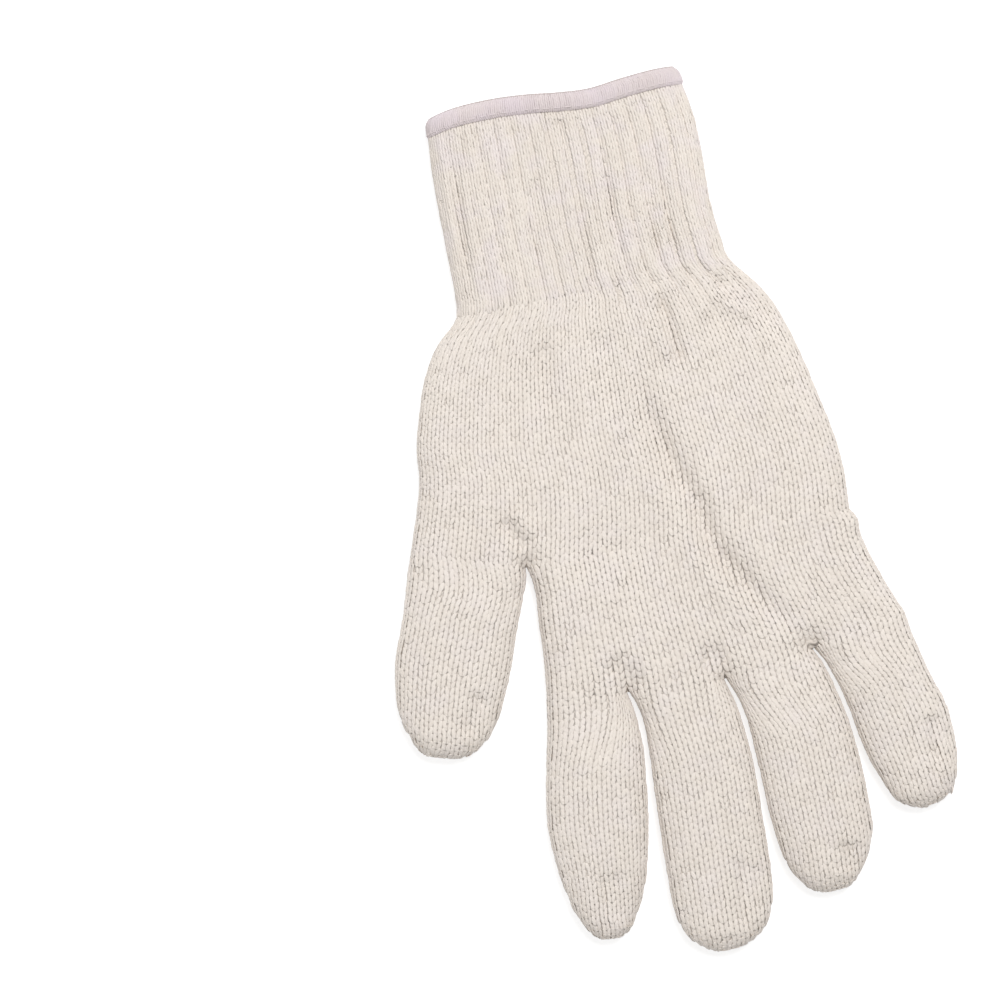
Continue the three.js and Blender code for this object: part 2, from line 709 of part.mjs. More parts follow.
const hemTube = {
  plan: (across, up) => {
    const left = CUFF_WIDTH * lookUp(HEM_ROWS, "up", up, "left");
    const right = CUFF_WIDTH * lookUp(HEM_ROWS, "up", up, "right");
    return { x: mix(left, right, across), y: hemPlace(across) + JOIN_GAP + HEM_LENGTH * up };
  },
  rows: HEM_ROWS.map((row) => ({ down: row.up, full: row.full, inside: { down: row.up, full: 1 } })),
  wall: HEM_WALL,
  height: () => HEM_HEIGHT,
  roundAbove: () => PALM_ROUND_ABOVE,
  stops: [],
  above: [HEM_SIDES],
  below: [HEM_SIDES],
  dentAbove: makeDents(CUFF_FOLDS, "cuff"),
  dentBelow: () => 0,
};

const knitYarn = new THREE.MeshStandardMaterial({ color: 0xe4dacd, roughness: 0.95, metalness: 0 });
const cuffYarn = new THREE.MeshStandardMaterial({ color: 0xe2d8cf, roughness: 0.95, metalness: 0 });
const hemThread = new THREE.MeshStandardMaterial({ color: 0xdcd4dc, roughness: 0.85, metalness: 0 });

const glove = new THREE.Group();

function addTube(name, tube, material) {
  const mesh = new THREE.Mesh(makeTube(tube), material);
  mesh.name = name;
  glove.add(mesh);
}

addTube("hem", hemTube, hemThread);
addTube("cuff", cuffTube, cuffYarn);
addTube(
  "five_finger_palm",
  palmTube("five", FIVE_FINGER_ROWS, [crotchAcross], FIVE_FINGER_SIDES),
  knitYarn);
addTube(
  "four_finger_palm",
  palmTube("four", FOUR_FINGER_ROWS, knuckleAcross.slice(1, -1), FOUR_FINGER_SIDES),
  knitYarn);
for (const finger of [THUMB, ...FINGERS]) {
  addTube(finger.name, fingerTube(finger), knitYarn);
}

const box = new THREE.Box3().setFromObject(glove);
const middle = box.getCenter(new THREE.Vector3());
glove.position.set(-middle.x, -middle.y, -box.min.z);

export default glove;
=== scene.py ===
# %% [markdown]
# # A seamless string-knit work glove
#
# This lesson dresses a plain CAD model of a knitted glove with real yarn. The CAD model is a row of
# flattened tubes. Each tube is covered here with stitches that are small pieces of geometry, so the
# glove looks knitted from any side and in any light. Lengths are worked out in millimetres and turned
# into metres when a mesh is made.

# %% The frame
import math
from dataclasses import dataclass

import bpy
import numpy as np
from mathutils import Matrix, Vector, noise


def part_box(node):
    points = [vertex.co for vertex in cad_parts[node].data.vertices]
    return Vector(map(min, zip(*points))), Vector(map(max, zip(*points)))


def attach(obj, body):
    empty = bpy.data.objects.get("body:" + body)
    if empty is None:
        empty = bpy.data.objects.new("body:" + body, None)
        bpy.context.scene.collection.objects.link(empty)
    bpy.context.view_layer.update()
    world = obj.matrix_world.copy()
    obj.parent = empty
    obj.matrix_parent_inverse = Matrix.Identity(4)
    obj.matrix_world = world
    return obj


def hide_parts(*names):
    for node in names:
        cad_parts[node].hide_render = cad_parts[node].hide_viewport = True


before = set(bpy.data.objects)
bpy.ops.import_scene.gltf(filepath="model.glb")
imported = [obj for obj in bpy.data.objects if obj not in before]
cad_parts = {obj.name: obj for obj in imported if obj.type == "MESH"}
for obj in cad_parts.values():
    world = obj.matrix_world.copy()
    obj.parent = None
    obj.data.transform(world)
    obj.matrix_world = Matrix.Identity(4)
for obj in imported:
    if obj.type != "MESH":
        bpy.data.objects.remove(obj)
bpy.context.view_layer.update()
MM = 0.001
print("nodes:", ", ".join(sorted(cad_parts)))

# %% [markdown]
# ## The camera
#
# The photograph was taken from straight above with little perspective. A long lens far away gives the
# same calm view. The camera is turned a little, because the glove lies at a slant in the picture, and
# it looks at the middle of the whole picture, which is left of this glove.

# %% Camera
VIEW_MIDDLE = (-37.5, 13.4)
VIEW_WIDTH = 287.4
VIEW_TURN = -11.0
VIEW_HEIGHT_ABOVE_TABLE = 6.0
LENS = 120.0
SENSOR = 36.0
NEAREST_SEEN = 0.05
FARTHEST_SEEN = 20.0

camera = bpy.data.objects.new("camera", bpy.data.cameras.new("camera"))
bpy.context.scene.collection.objects.link(camera)
camera.data.lens = LENS
camera.data.sensor_width = SENSOR
camera.location = (
    VIEW_MIDDLE[0] * MM,
    VIEW_MIDDLE[1] * MM,
    (VIEW_HEIGHT_ABOVE_TABLE + VIEW_WIDTH * LENS / SENSOR) * MM,
)
camera.rotation_euler = (0, 0, math.radians(VIEW_TURN))
camera.data.clip_start = NEAREST_SEEN
camera.data.clip_end = FARTHEST_SEEN
bpy.context.scene.camera = camera
print("camera height in m:", round(camera.location.z, 3))

# %% [markdown]
# ## Nodes as expressions
#
# Materials and geometry trees are easier to read when their maths looks like maths. `Wire` holds one
# output of a node. Adding or multiplying wires adds a Math node, and `Tree.add` makes any other node
# from its type, its settings and the values or wires of its sockets.

# %% Wires and trees
DETAIL, MORE_DETAIL = 2.0, 3.0


class Wire:
    """One output of a node. Sums and products of wires are Math nodes."""

    def __init__(self, tree, socket):
        self.tree = tree
        self.socket = socket

    def math(self, operation, *values):
        inputs = dict(enumerate(values))
        return self.tree.add("ShaderNodeMath", {"operation": operation}, inputs)

    def __add__(self, other):
        return self.math("ADD", self, other)

    def __radd__(self, other):
        return self.math("ADD", other, self)

    def __sub__(self, other):
        return self.math("SUBTRACT", self, other)

    def __rsub__(self, other):
        return self.math("SUBTRACT", other, self)

    def __mul__(self, other):
        return self.math("MULTIPLY", self, other)

    def sine(self):
        return self.math("SINE", self)

    def clamped(self):
        return self.tree.add("ShaderNodeClamp", {}, {"Value": self})


class Tree:
    """Adds nodes to a node tree."""

    def __init__(self, tree):
        self.tree = tree

    @staticmethod
    def socket(sockets, key):
        if isinstance(key, int):
            return sockets[key]
        for socket in sockets:
            if socket.identifier == key:
                return socket
        return next(socket for socket in sockets if socket.name == key and socket.enabled)

    def add(self, kind, settings=None, inputs=None, out=0):
        node = self.tree.nodes.new(kind)
        for name, value in (settings or {}).items():
            setattr(node, name, value)
        for key, value in (inputs or {}).items():
            self.feed(node, key, value)
        return Wire(self, self.socket(node.outputs, out)) if len(node.outputs) else node

    def feed(self, node, key, value):
        socket = self.socket(node.inputs, key)
        if isinstance(value, (list, tuple)) and isinstance(value[0], Wire):
            for wire in value:
                self.tree.links.new(wire.socket, socket)
        elif isinstance(value, Wire):
            self.tree.links.new(value.socket, socket)
        else:
            socket.default_value = value

    def mix(self, share, first, second):
        """A colour between two colours."""
        return self.add(
            "ShaderNodeMix",
            {"data_type": "RGBA"},
            {"Factor_Float": share, "A_Color": first, "B_Color": second},
            out="Result_Color")

    def noise(self, place, scale, detail=DETAIL):
        return self.add("ShaderNodeTexNoise", {}, {"Vector": place, "Scale": scale, "Detail": detail})

    def attribute(self, name, out="Fac"):
        return self.add("ShaderNodeAttribute", {"attribute_name": name}, out=out)

    def bump(self, shader, strength, depth, height):
        sizes = {"Strength": strength, "Distance": depth, "Height": height}
        self.feed(shader, "Normal", self.add("ShaderNodeBump", {}, sizes, "Normal"))

    def axes(self, vector):
        """The X, the Y and the Z of a vector."""
        node = self.add("ShaderNodeSeparateXYZ", {}, {"Vector": vector}).socket.node
        return [Wire(self, output) for output in node.outputs]

    def vector(self, **axes):
        return self.add("ShaderNodeCombineXYZ", {}, axes)

    def shape(self, kind, geometry, inputs=None, settings=None):
        """A node that changes a geometry."""
        return self.add(kind, settings, {"Geometry": geometry, **(inputs or {})})


print("Wire and Tree are ready")

# %% [markdown]
# ## The light and the table
#
# The photograph is a bright studio picture on white paper, almost without shadows. A soft panel hangs
# beyond the little finger's side of the cuff and a weak one on the thumb's side, so folds show as gentle
# shade. More than half of the paper's white is its own glow, as on a light table, which keeps the gaps
# between the fingers white.

# %% Studio
def srgb(red, green, blue):
    """A colour given as on a screen, 0 to 255, in Blender's linear numbers."""
    def linear(value):
        value /= 255
        return value / 12.92 if value <= 0.04045 else ((value + 0.055) / 1.055) ** 2.4
    return (linear(red), linear(green), linear(blue), 1.0)


def add_panel(name, place, size, power, colour):
    """A square area light that looks at the middle of the glove."""
    light = bpy.data.lights.new(name, "AREA")
    light.shape = "SQUARE"
    light.size = size
    light.energy = power
    light.color = colour
    panel = bpy.data.objects.new(name, light)
    bpy.context.scene.collection.objects.link(panel)
    panel.location = place
    panel.rotation_euler = (-Vector(place)).to_track_quat("-Z", "Y").to_euler()


# name, place in metres, width in metres, power in watts, colour
PANELS = (
    ("top_panel", (0.28, 0.44, 1.15), 0.50, 13.3, (1.0, 0.998, 0.992)),
    ("side_panel", (-0.80, 0.10, 0.80), 0.60, 1.8, (0.98, 0.99, 1.0)),
)
WHITE = (1.0, 1.0, 1.0, 1.0)
SKY_STRENGTH = 0.40
PAPER_SETTINGS = {
    "Base Color": (0.50, 0.50, 0.50, 1.0), "Emission Color": WHITE, "Emission Strength": 0.66,
    "Roughness": 0.9, "Specular IOR Level": 0.1}

world = bpy.data.worlds.new("studio")
world.use_nodes = True
bpy.context.scene.world = world
world.node_tree.nodes["Background"].inputs["Color"].default_value = WHITE
world.node_tree.nodes["Background"].inputs["Strength"].default_value = SKY_STRENGTH
for panel_sizes in PANELS:
    add_panel(*panel_sizes)

paper = bpy.data.materials.new("paper")
paper.use_nodes = True
for name, value in PAPER_SETTINGS.items():
    paper.node_tree.nodes["Principled BSDF"].inputs[name].default_value = value

FLOOR_HALF = 3.0
floor_mesh = bpy.data.meshes.new("floor")
floor_mesh.from_pydata(
    [(-FLOOR_HALF, -FLOOR_HALF, 0), (FLOOR_HALF, -FLOOR_HALF, 0),
     (FLOOR_HALF, FLOOR_HALF, 0), (-FLOOR_HALF, FLOOR_HALF, 0)],
    [], [(0, 1, 2, 3)])
floor_mesh.materials.append(paper)
floor = bpy.data.objects.new("floor", floor_mesh)
bpy.context.scene.collection.objects.link(floor)
bpy.context.scene.view_settings.view_transform = "Standard"
bpy.context.scene.view_settings.look = "None"
print(len(PANELS), "panels, a pale sky and a floor")

# %% [markdown]
# ## The sizes of the glove
#
# The same named sizes as in the CAD source, so both stay one glove. A finger's outline is a short
# table: how far along the finger, and how far its left and right edges stand from its middle line,
# in shares of its width.

# %% Sizes
KNIT_WALL = 2.0
CUFF_WALL = 1.9
HEM_WALL = 2.2
JOIN_GAP = 0.3
PALM_HEIGHT = 10.4
FINGER_HEIGHT = 11.6
THUMB_HEIGHT = 11.8
CUFF_HEIGHT = 10.2
HEM_HEIGHT = 11.0
SIDE_LINE = 0.46
PALM_ROUND_ABOVE = 9
ROUND_BELOW = 4.6
FINGER_DOME = 0.86
CUFF_WIDTH = 78
CUFF_LENGTH = 53.6
HEM_LENGTH = 5
PALM_DROP = 74.3
KNUCKLE_DROP = 40
PALM_WIDTH = 94.7
PALM_OFFSET = 12.85
LITTLE_SIDE_SHARE = 0.011
INDEX_SIDE_FLARE = 0.019
INDEX_SIDE_SHARE = 0.968
FINGER_RISE = 0.3
DOME_RISE = 0.2
TIP_ROUND = 7
CUFF_FALL = 0.2

# name, width, length, height, root as a share of the width, turn of the root line, lean
FINGER_SIZES = {
    "thumb": (33.8, 57.9, THUMB_HEIGHT, 1.0, -19.8, -16.6),
    "index_finger": (29.6, 70.1, FINGER_HEIGHT, 0.807, -4.8, -4.7),
    "middle_finger": (30.2, 77.6, FINGER_HEIGHT, 0.928, -3.1, 1.1),
    "ring_finger": (29.2, 68.2, FINGER_HEIGHT, 0.918, 8.6, 4.0),
    "little_finger": (26.8, 54.6, FINGER_HEIGHT, 1.067, 10.1, 10.4),
}
OUTLINE_ALONG = (0.08, 0.20, 0.35, 0.50, 0.65, 0.77, 0.85, 0.91, 0.955, 0.985)
FINGER_LEFT = {
    "thumb": (-.506, -.509, -.515, -.536, -.522, -.482, -.423, -.349, -.276, -.200),
    "index_finger": (-.417, -.456, -.502, -.527, -.493, -.436, -.378, -.311, -.233, -.140),
    "middle_finger": (-.400, -.396, -.422, -.447, -.470, -.480, -.467, -.414, -.305, -.180),
    "ring_finger": (-.402, -.362, -.363, -.377, -.385, -.372, -.342, -.274, -.199, -.090),
    "little_finger": (-.478, -.437, -.418, -.425, -.414, -.377, -.343, -.295, -.190, -.080),
}
FINGER_RIGHT = {
    "thumb": (.515, .497, .476, .464, .433, .396, .349, .284, .198, .090),
    "index_finger": (.456, .494, .490, .473, .432, .382, .321, .253, .189, .085),
    "middle_finger": (.514, .552, .568, .550, .533, .510, .474, .407, .295, .140),
    "ring_finger": (.534, .590, .628, .630, .611, .582, .514, .418, .318, .223),
    "little_finger": (.522, .530, .547, .586, .563, .515, .463, .396, .317, .170),
}

# down from the wrist to the thumb line, and the flares from the cuff's width to the palm's
FIVE_FINGER_ROWS = (
    (0.00, 0.000, 0.000), (0.04, 0.086, 0.132), (0.09, 0.234, 0.280), (0.16, 0.367, 0.444),
    (0.26, 0.500, 0.593), (0.40, 0.620, 0.746), (0.55, 0.723, 0.868), (0.70, 0.766, 0.984),
    (0.85, 0.871, 1.030), (1.00, 1.000, 1.000),
)
# down from the thumb line to the knuckle line, and the spreads of its two edges
FOUR_FINGER_ROWS = (
    (0.00, 0.00, 0.00), (0.10, -0.40, 0.18), (0.22, -0.50, 0.18), (0.40, -0.20, 0.30),
    (0.60, 0.05, 0.50), (0.76, 0.30, 0.69), (0.89, 0.64, 0.86), (1.00, 1.00, 1.00),
)
# up the cuff, and its two edges in shares of its width
CUFF_ROWS = (
    (0.00, -0.523, 0.529), (0.05, -0.516, 0.510), (0.14, -0.513, 0.500), (0.34, -0.513, 0.486),
    (0.60, -0.513, 0.489), (0.82, -0.510, 0.486), (1.00, -0.501, 0.467),
)
HEM_ROWS = ((0.00, -0.501, 0.467), (0.25, -0.500, 0.466), (0.75, -0.496, 0.458), (1.00, -0.488, 0.448))
# across the cuff, and how far the hem line rises over it in shares of the hem's length
HEM_LINE = (
    (0.00, -0.26), (0.10, 0.00), (0.25, 0.12), (0.40, 0.00), (0.52, -0.22),
    (0.64, -0.34), (0.78, -0.12), (0.90, 0.02), (1.00, 0.06),
)
print("fingers:", ", ".join(FINGER_SIZES))

# %% [markdown]
# ## The plan
#
# Seen from above, every tube is a patch between a left and a right edge. A plan function takes a share
# across the tube and a share down it, and gives a point. The tables are joined by smooth curves
# here, where the CAD model joins them by straight lines, so the cloth has no facets.

# %% Smooth tables and points
def smooth(table, column, place):
    """A smooth curve through one column of a table."""
    places = np.array([row[0] for row in table], float)
    values = np.array([row[column] for row in table], float)
    slopes = np.gradient(values, places)
    place = np.asarray(place, float)
    index = np.clip(np.searchsorted(places, place, side="right") - 1, 0, len(places) - 2)
    step = places[index + 1] - places[index]
    t = np.clip((place - places[index]) / step, 0, 1)
    return (
        values[index] * (1 + 2 * t) * (1 - t) ** 2
        + slopes[index] * step * t * (1 - t) ** 2
        + values[index + 1] * t * t * (3 - 2 * t)
        + slopes[index + 1] * step * t * t * (t - 1)
    )


def mix(first, second, share):
    return first + (second - first) * share


def ease(share):
    share = np.clip(share, 0, 1)
    return share * share * (3 - 2 * share)


def lengths_along(line):
    steps = np.linalg.norm(np.diff(line, axis=0), axis=1)
    return np.concatenate([[0], np.cumsum(steps)])


def turned(point, degrees, distance):
    angle = math.radians(degrees)
    return point + np.array([math.cos(angle), math.sin(angle)]) * distance


crotch = np.array([PALM_OFFSET - PALM_WIDTH / 2, -PALM_DROP])
palm_right = np.array([PALM_OFFSET + PALM_WIDTH / 2, crotch[1] - PALM_WIDTH * LITTLE_SIDE_SHARE])
thumb_outer = turned(crotch, 180 + FINGER_SIZES["thumb"][4], FINGER_SIZES["thumb"][0])
knuckles = [crotch - np.array([PALM_WIDTH * INDEX_SIDE_FLARE, KNUCKLE_DROP * INDEX_SIDE_SHARE])]
for finger in list(FINGER_SIZES)[1:]:
    width, _, _, root, root_turn, _ = FINGER_SIZES[finger]
    knuckles.append(turned(knuckles[-1], root_turn, width * root))
print("crotch", crotch.round(1), "knuckles", [point.round(1).tolist() for point in knuckles])

# %% Plans of the palm, the cuff and the hem
crotch_across = (crotch[0] - thumb_outer[0]) / (palm_right[0] - thumb_outer[0])
knuckle_places = np.array(knuckles)
knuckle_across = (knuckle_places[:, 0] - knuckle_places[0, 0]) / np.ptp(knuckle_places[:, 0])
BEND_SOFTNESS = 0.22
LEAST_SOFTNESS = 1e-3


def points(x, y):
    return np.stack([x + 0 * y, y + 0 * x], axis=-1)


def five_finger_plan(across, down):
    left = mix(CUFF_WIDTH * CUFF_ROWS[0][1], thumb_outer[0], smooth(FIVE_FINGER_ROWS, 1, down))
    right = mix(CUFF_WIDTH * CUFF_ROWS[0][2], palm_right[0], smooth(FIVE_FINGER_ROWS, 2, down))
    x = mix(left, right, across)
    # The courses bend at the crotch's column. The bend is soft above the thumb line.
    soft = BEND_SOFTNESS * (1 - down) + LEAST_SOFTNESS
    thumb_side = soft * np.logaddexp(0, (1 - across / crotch_across) / soft)
    palm_side = soft * np.logaddexp(0, (across / crotch_across - 1) / soft)
    palm_share = palm_side / (1 / crotch_across - 1)
    y = (
        crotch[1] + (thumb_outer[1] - crotch[1]) * thumb_side + (palm_right[1] - crotch[1]) * palm_share
    ) * down
    return points(x, y)


def four_finger_plan(across, down):
    left = mix(crotch[0], knuckles[0][0], smooth(FOUR_FINGER_ROWS, 1, down))
    right = mix(palm_right[0], knuckles[-1][0], smooth(FOUR_FINGER_ROWS, 2, down))
    top = mix(crotch[1], palm_right[1], across)
    bottom = np.interp(across, knuckle_across, knuckle_places[:, 1])
    return points(mix(left, right, across), mix(top, bottom, down))


def hem_place(across):
    return CUFF_LENGTH + HEM_LENGTH * smooth(HEM_LINE, 1, across)


def cuff_side(rows, across, up):
    return mix(CUFF_WIDTH * smooth(rows, 1, up), CUFF_WIDTH * smooth(rows, 2, up), across)


def cuff_plan(across, up):
    return points(cuff_side(CUFF_ROWS, across, up), hem_place(across) * up)


def hem_plan(across, up):
    return points(cuff_side(HEM_ROWS, across, up), hem_place(across) + HEM_LENGTH * up)


print("palm", five_finger_plan(np.array([0.0, 1.0]), 1.0).round(1).tolist())

# %% Plans of the fingers
ROOT_BLEND = 0.16


def finger_plan(name, root_left, root_right):
    """The plan of one finger, from its root line to its tip."""
    width, length, _, _, _, lean = FINGER_SIZES[name]
    along_way = np.array([math.sin(math.radians(lean)), -math.cos(math.radians(lean))])
    side_way = np.array([math.cos(math.radians(lean)), math.sin(math.radians(lean))])
    origin = (root_left + root_right) / 2 + along_way * JOIN_GAP
    roots = [(root - origin) @ np.array([side_way, along_way]).T for root in (root_left, root_right)]
    edges = []
    for root, column in zip(roots, (FINGER_LEFT[name], FINGER_RIGHT[name])):
        tip_side = (FINGER_LEFT[name][-1] + FINGER_RIGHT[name][-1]) / 2 * width
        # The edge is a smooth curve over the root of what is left, so that the tip is round.
        rows = [(0.0, tip_side)]
        rows += [(math.sqrt(1 - along), side * width) for along, side in zip(OUTLINE_ALONG, column)][::-1]
        rows.append((1.0, root[0]))
        edges.append(rows)

    def plan(across, along):
        left_to_go = np.sqrt(np.clip(1 - along, 0, 1)) + 0 * across
        near_root = 1 - ease(along / ROOT_BLEND)
        sides = [smooth(rows, 1, left_to_go) for rows in edges]
        ways = [along * length + root[1] * near_root for root in roots]
        side = mix(sides[0], sides[1], across)
        way = mix(ways[0], ways[1], across)
        return origin + side[..., None] * side_way + (way + 0 * side)[..., None] * along_way

    return plan


plans = {"thumb": finger_plan("thumb", thumb_outer, crotch)}
for place, finger in enumerate(list(FINGER_SIZES)[1:]):
    plans[finger] = finger_plan(finger, knuckles[place], knuckles[place + 1])
plans.update(five=five_finger_plan, four=four_finger_plan, cuff=cuff_plan, hem=hem_plan)
print("tip of the middle finger", plans["middle_finger"](np.array([0.5]), 1.0).round(1).tolist())

# %% [markdown]
# ## Folds and the lie of the cloth
#
# The glove lies loosely, so its upper layer has a long soft valley from the wrist to the ring finger,
# gathers at the wrist, a pucker over the thumb's crotch and a dimple at each fingertip. A fold is a
# line on the plan: the cloth is pressed in along it and recovers sideways. A swelling has a negative
# depth. A slow noise adds the unevenness of cloth that lies by itself.

# %% Folds
# depth as a share of the room under the cloth, reach to each side in millimetres, line on the plan
FOLDS = (
    (0.66, 3.4, (
        (6, -20), (8, -37), (12.4, -54), (16.2, -64), (19.3, -79), (28, -94), (37, -106), (41, -110))),
    (-0.20, 4.0, ((-0.5, -40), (5, -58), (10, -74), (19, -92), (29, -103))),
    (-0.16, 5.0, ((14, -34), (21, -56), (26, -76), (35, -90))),
    (0.52, 2.3, ((17.0, -3), (18.4, -12), (20.8, -28))),
    (-0.20, 2.4, ((14.0, -10), (16.6, -24))),
    (0.56, 3.4, ((33, -1), (38, -6), (44, -13), (51, -21))),
    (0.30, 4.2, ((28, -13), (45, -18))),
    (-0.18, 3.4, ((36, -9), (42, -17))),
    (0.34, 3.6, ((-17.5, -10), (-20.2, -33))),
    (0.32, 3.6, ((-1, -10), (-1.6, -36))),
    (0.26, 9.0, ((-23, -66), (-10, -75), (3, -83))),
    (0.42, 4.0, ((9, -109), (18, -111))),
    (0.42, 4.0, ((-17, -104), (-8, -116))),
    (-0.16, 7.0, ((-48, -34), (-56, -58))),
    (-0.14, 8.0, ((42, -52), (50, -82))),
    (0.38, 2.6, ((-40.0, -59), (-33.0, -70))),
    (-0.18, 2.4, ((-35.5, -57), (-30.0, -66))),
    (0.34, 1.8, ((-31.5, 50), (-36.6, 2))),
    (-0.16, 1.6, ((-35.0, 50), (-38.2, 8))),
    (0.22, 2.4, ((-1.1, 51), (-3.0, 40))),
    (0.24, 1.9, ((-11, 37), (-15.3, 8))),
    (0.26, 1.9, ((2.3, 36), (-2.1, -10))),
    (0.28, 1.9, ((9.9, 34), (6.2, -8))),
    (0.24, 1.7, ((21.9, 34), (19.2, 3))),
    (0.24, 1.7, ((25.7, 30), (23.7, 2))),
    (0.32, 2.3, ((-29.6, -163.0), (-32.4, -183.0))),
    (0.24, 3.4, ((-26.8, -163.0), (-28.8, -181.0))),
    (0.30, 2.4, ((11.2, -165.0), (6.6, -189.0))),
    (0.22, 3.4, ((13.8, -168.0), (11.0, -186.0))),
    (0.36, 3.6, ((41.2, -168.0), (39.6, -178.0))),
    (0.34, 2.7, ((71.8, -136.0), (70.6, -153.0))),
    (0.22, 3.4, ((74.4, -141.0), (74.0, -152.0))),
    (0.32, 3.2, ((-52.5, -106.5), (-61.5, -119.0))),
)
# wave length and height of the cloth's unevenness, in millimetres
UNEVENNESS = ((19.0, 0.26), (7.0, 0.09))
# where the noise is read for the lower and for the upper layer
NOISE_LEVELS = (9.2, 3.7)

FOLD_TAPER = 4.0
FAINT_END = 0.15

fold_steps = []
for number, (depth, reach, line) in enumerate(FOLDS):
    line = np.array(line, float)
    marks = lengths_along(line) / lengths_along(line)[-1]
    for step in range(len(line) - 1):
        fold_steps.append((line[step], line[step + 1], marks[step], marks[step + 1], depth, reach, number))


def pressed_in(place):
    """How deep the upper layer is pressed in, as a share of the room under it."""
    dents = np.zeros((len(FOLDS), len(place)))
    for start, end, mark, next_mark, depth, reach, number in fold_steps:
        way = end - start
        share = np.clip((place - start) @ way / (way @ way), 0, 1)
        distance = np.linalg.norm(place - start - share[:, None] * way, axis=1)
        along = mix(mark, next_mark, share)
        taper = mix(FAINT_END, 1.0, ease(np.minimum(along, 1 - along) * FOLD_TAPER))
        dent = depth * taper * np.exp(-((distance / reach) ** 2))
        dents[number] = np.where(np.abs(dent) > np.abs(dents[number]), dent, dents[number])
    return np.clip(dents.max(axis=0), 0, None) + np.clip(dents.min(axis=0), None, 0)


def uneven(place, upper):
    """Small ups and downs of the cloth."""
    total = np.zeros(len(place))
    level = NOISE_LEVELS[int(upper)]
    for wave, height in UNEVENNESS:
        total += [height * noise.noise(Vector((x / wave, y / wave, level))) for x, y in place]
    return total


print(len(FOLDS), "folds; the long valley is pressed in by", pressed_in(np.array([[8.0, -37.0]])).round(3))

# %% [markdown]
# ## Sections and courses
#
# A section across a tube is flat below, domed above and round at both sides, as in the CAD model. It
# can be drawn inset, so the same function gives the line on which the stitches sit, the backing cloth
# behind them and the inside. A course is one row of stitches: points at even distances round a section.

# %% Sections
CURVE_STEPS = 14
FLAT_STEPS = 110
FLOOR_ROOM = 0.2
STOP_REACH = 0.7
STITCH_INSET = 0.55
LEAST_HALF = 0.05
LEAST_INNER_HALF = 0.02
LEAST_ROUND_SHARE = 1 / 3
LOWER_UNEVENNESS = 0.4
EDGE_MARGIN = 0.12


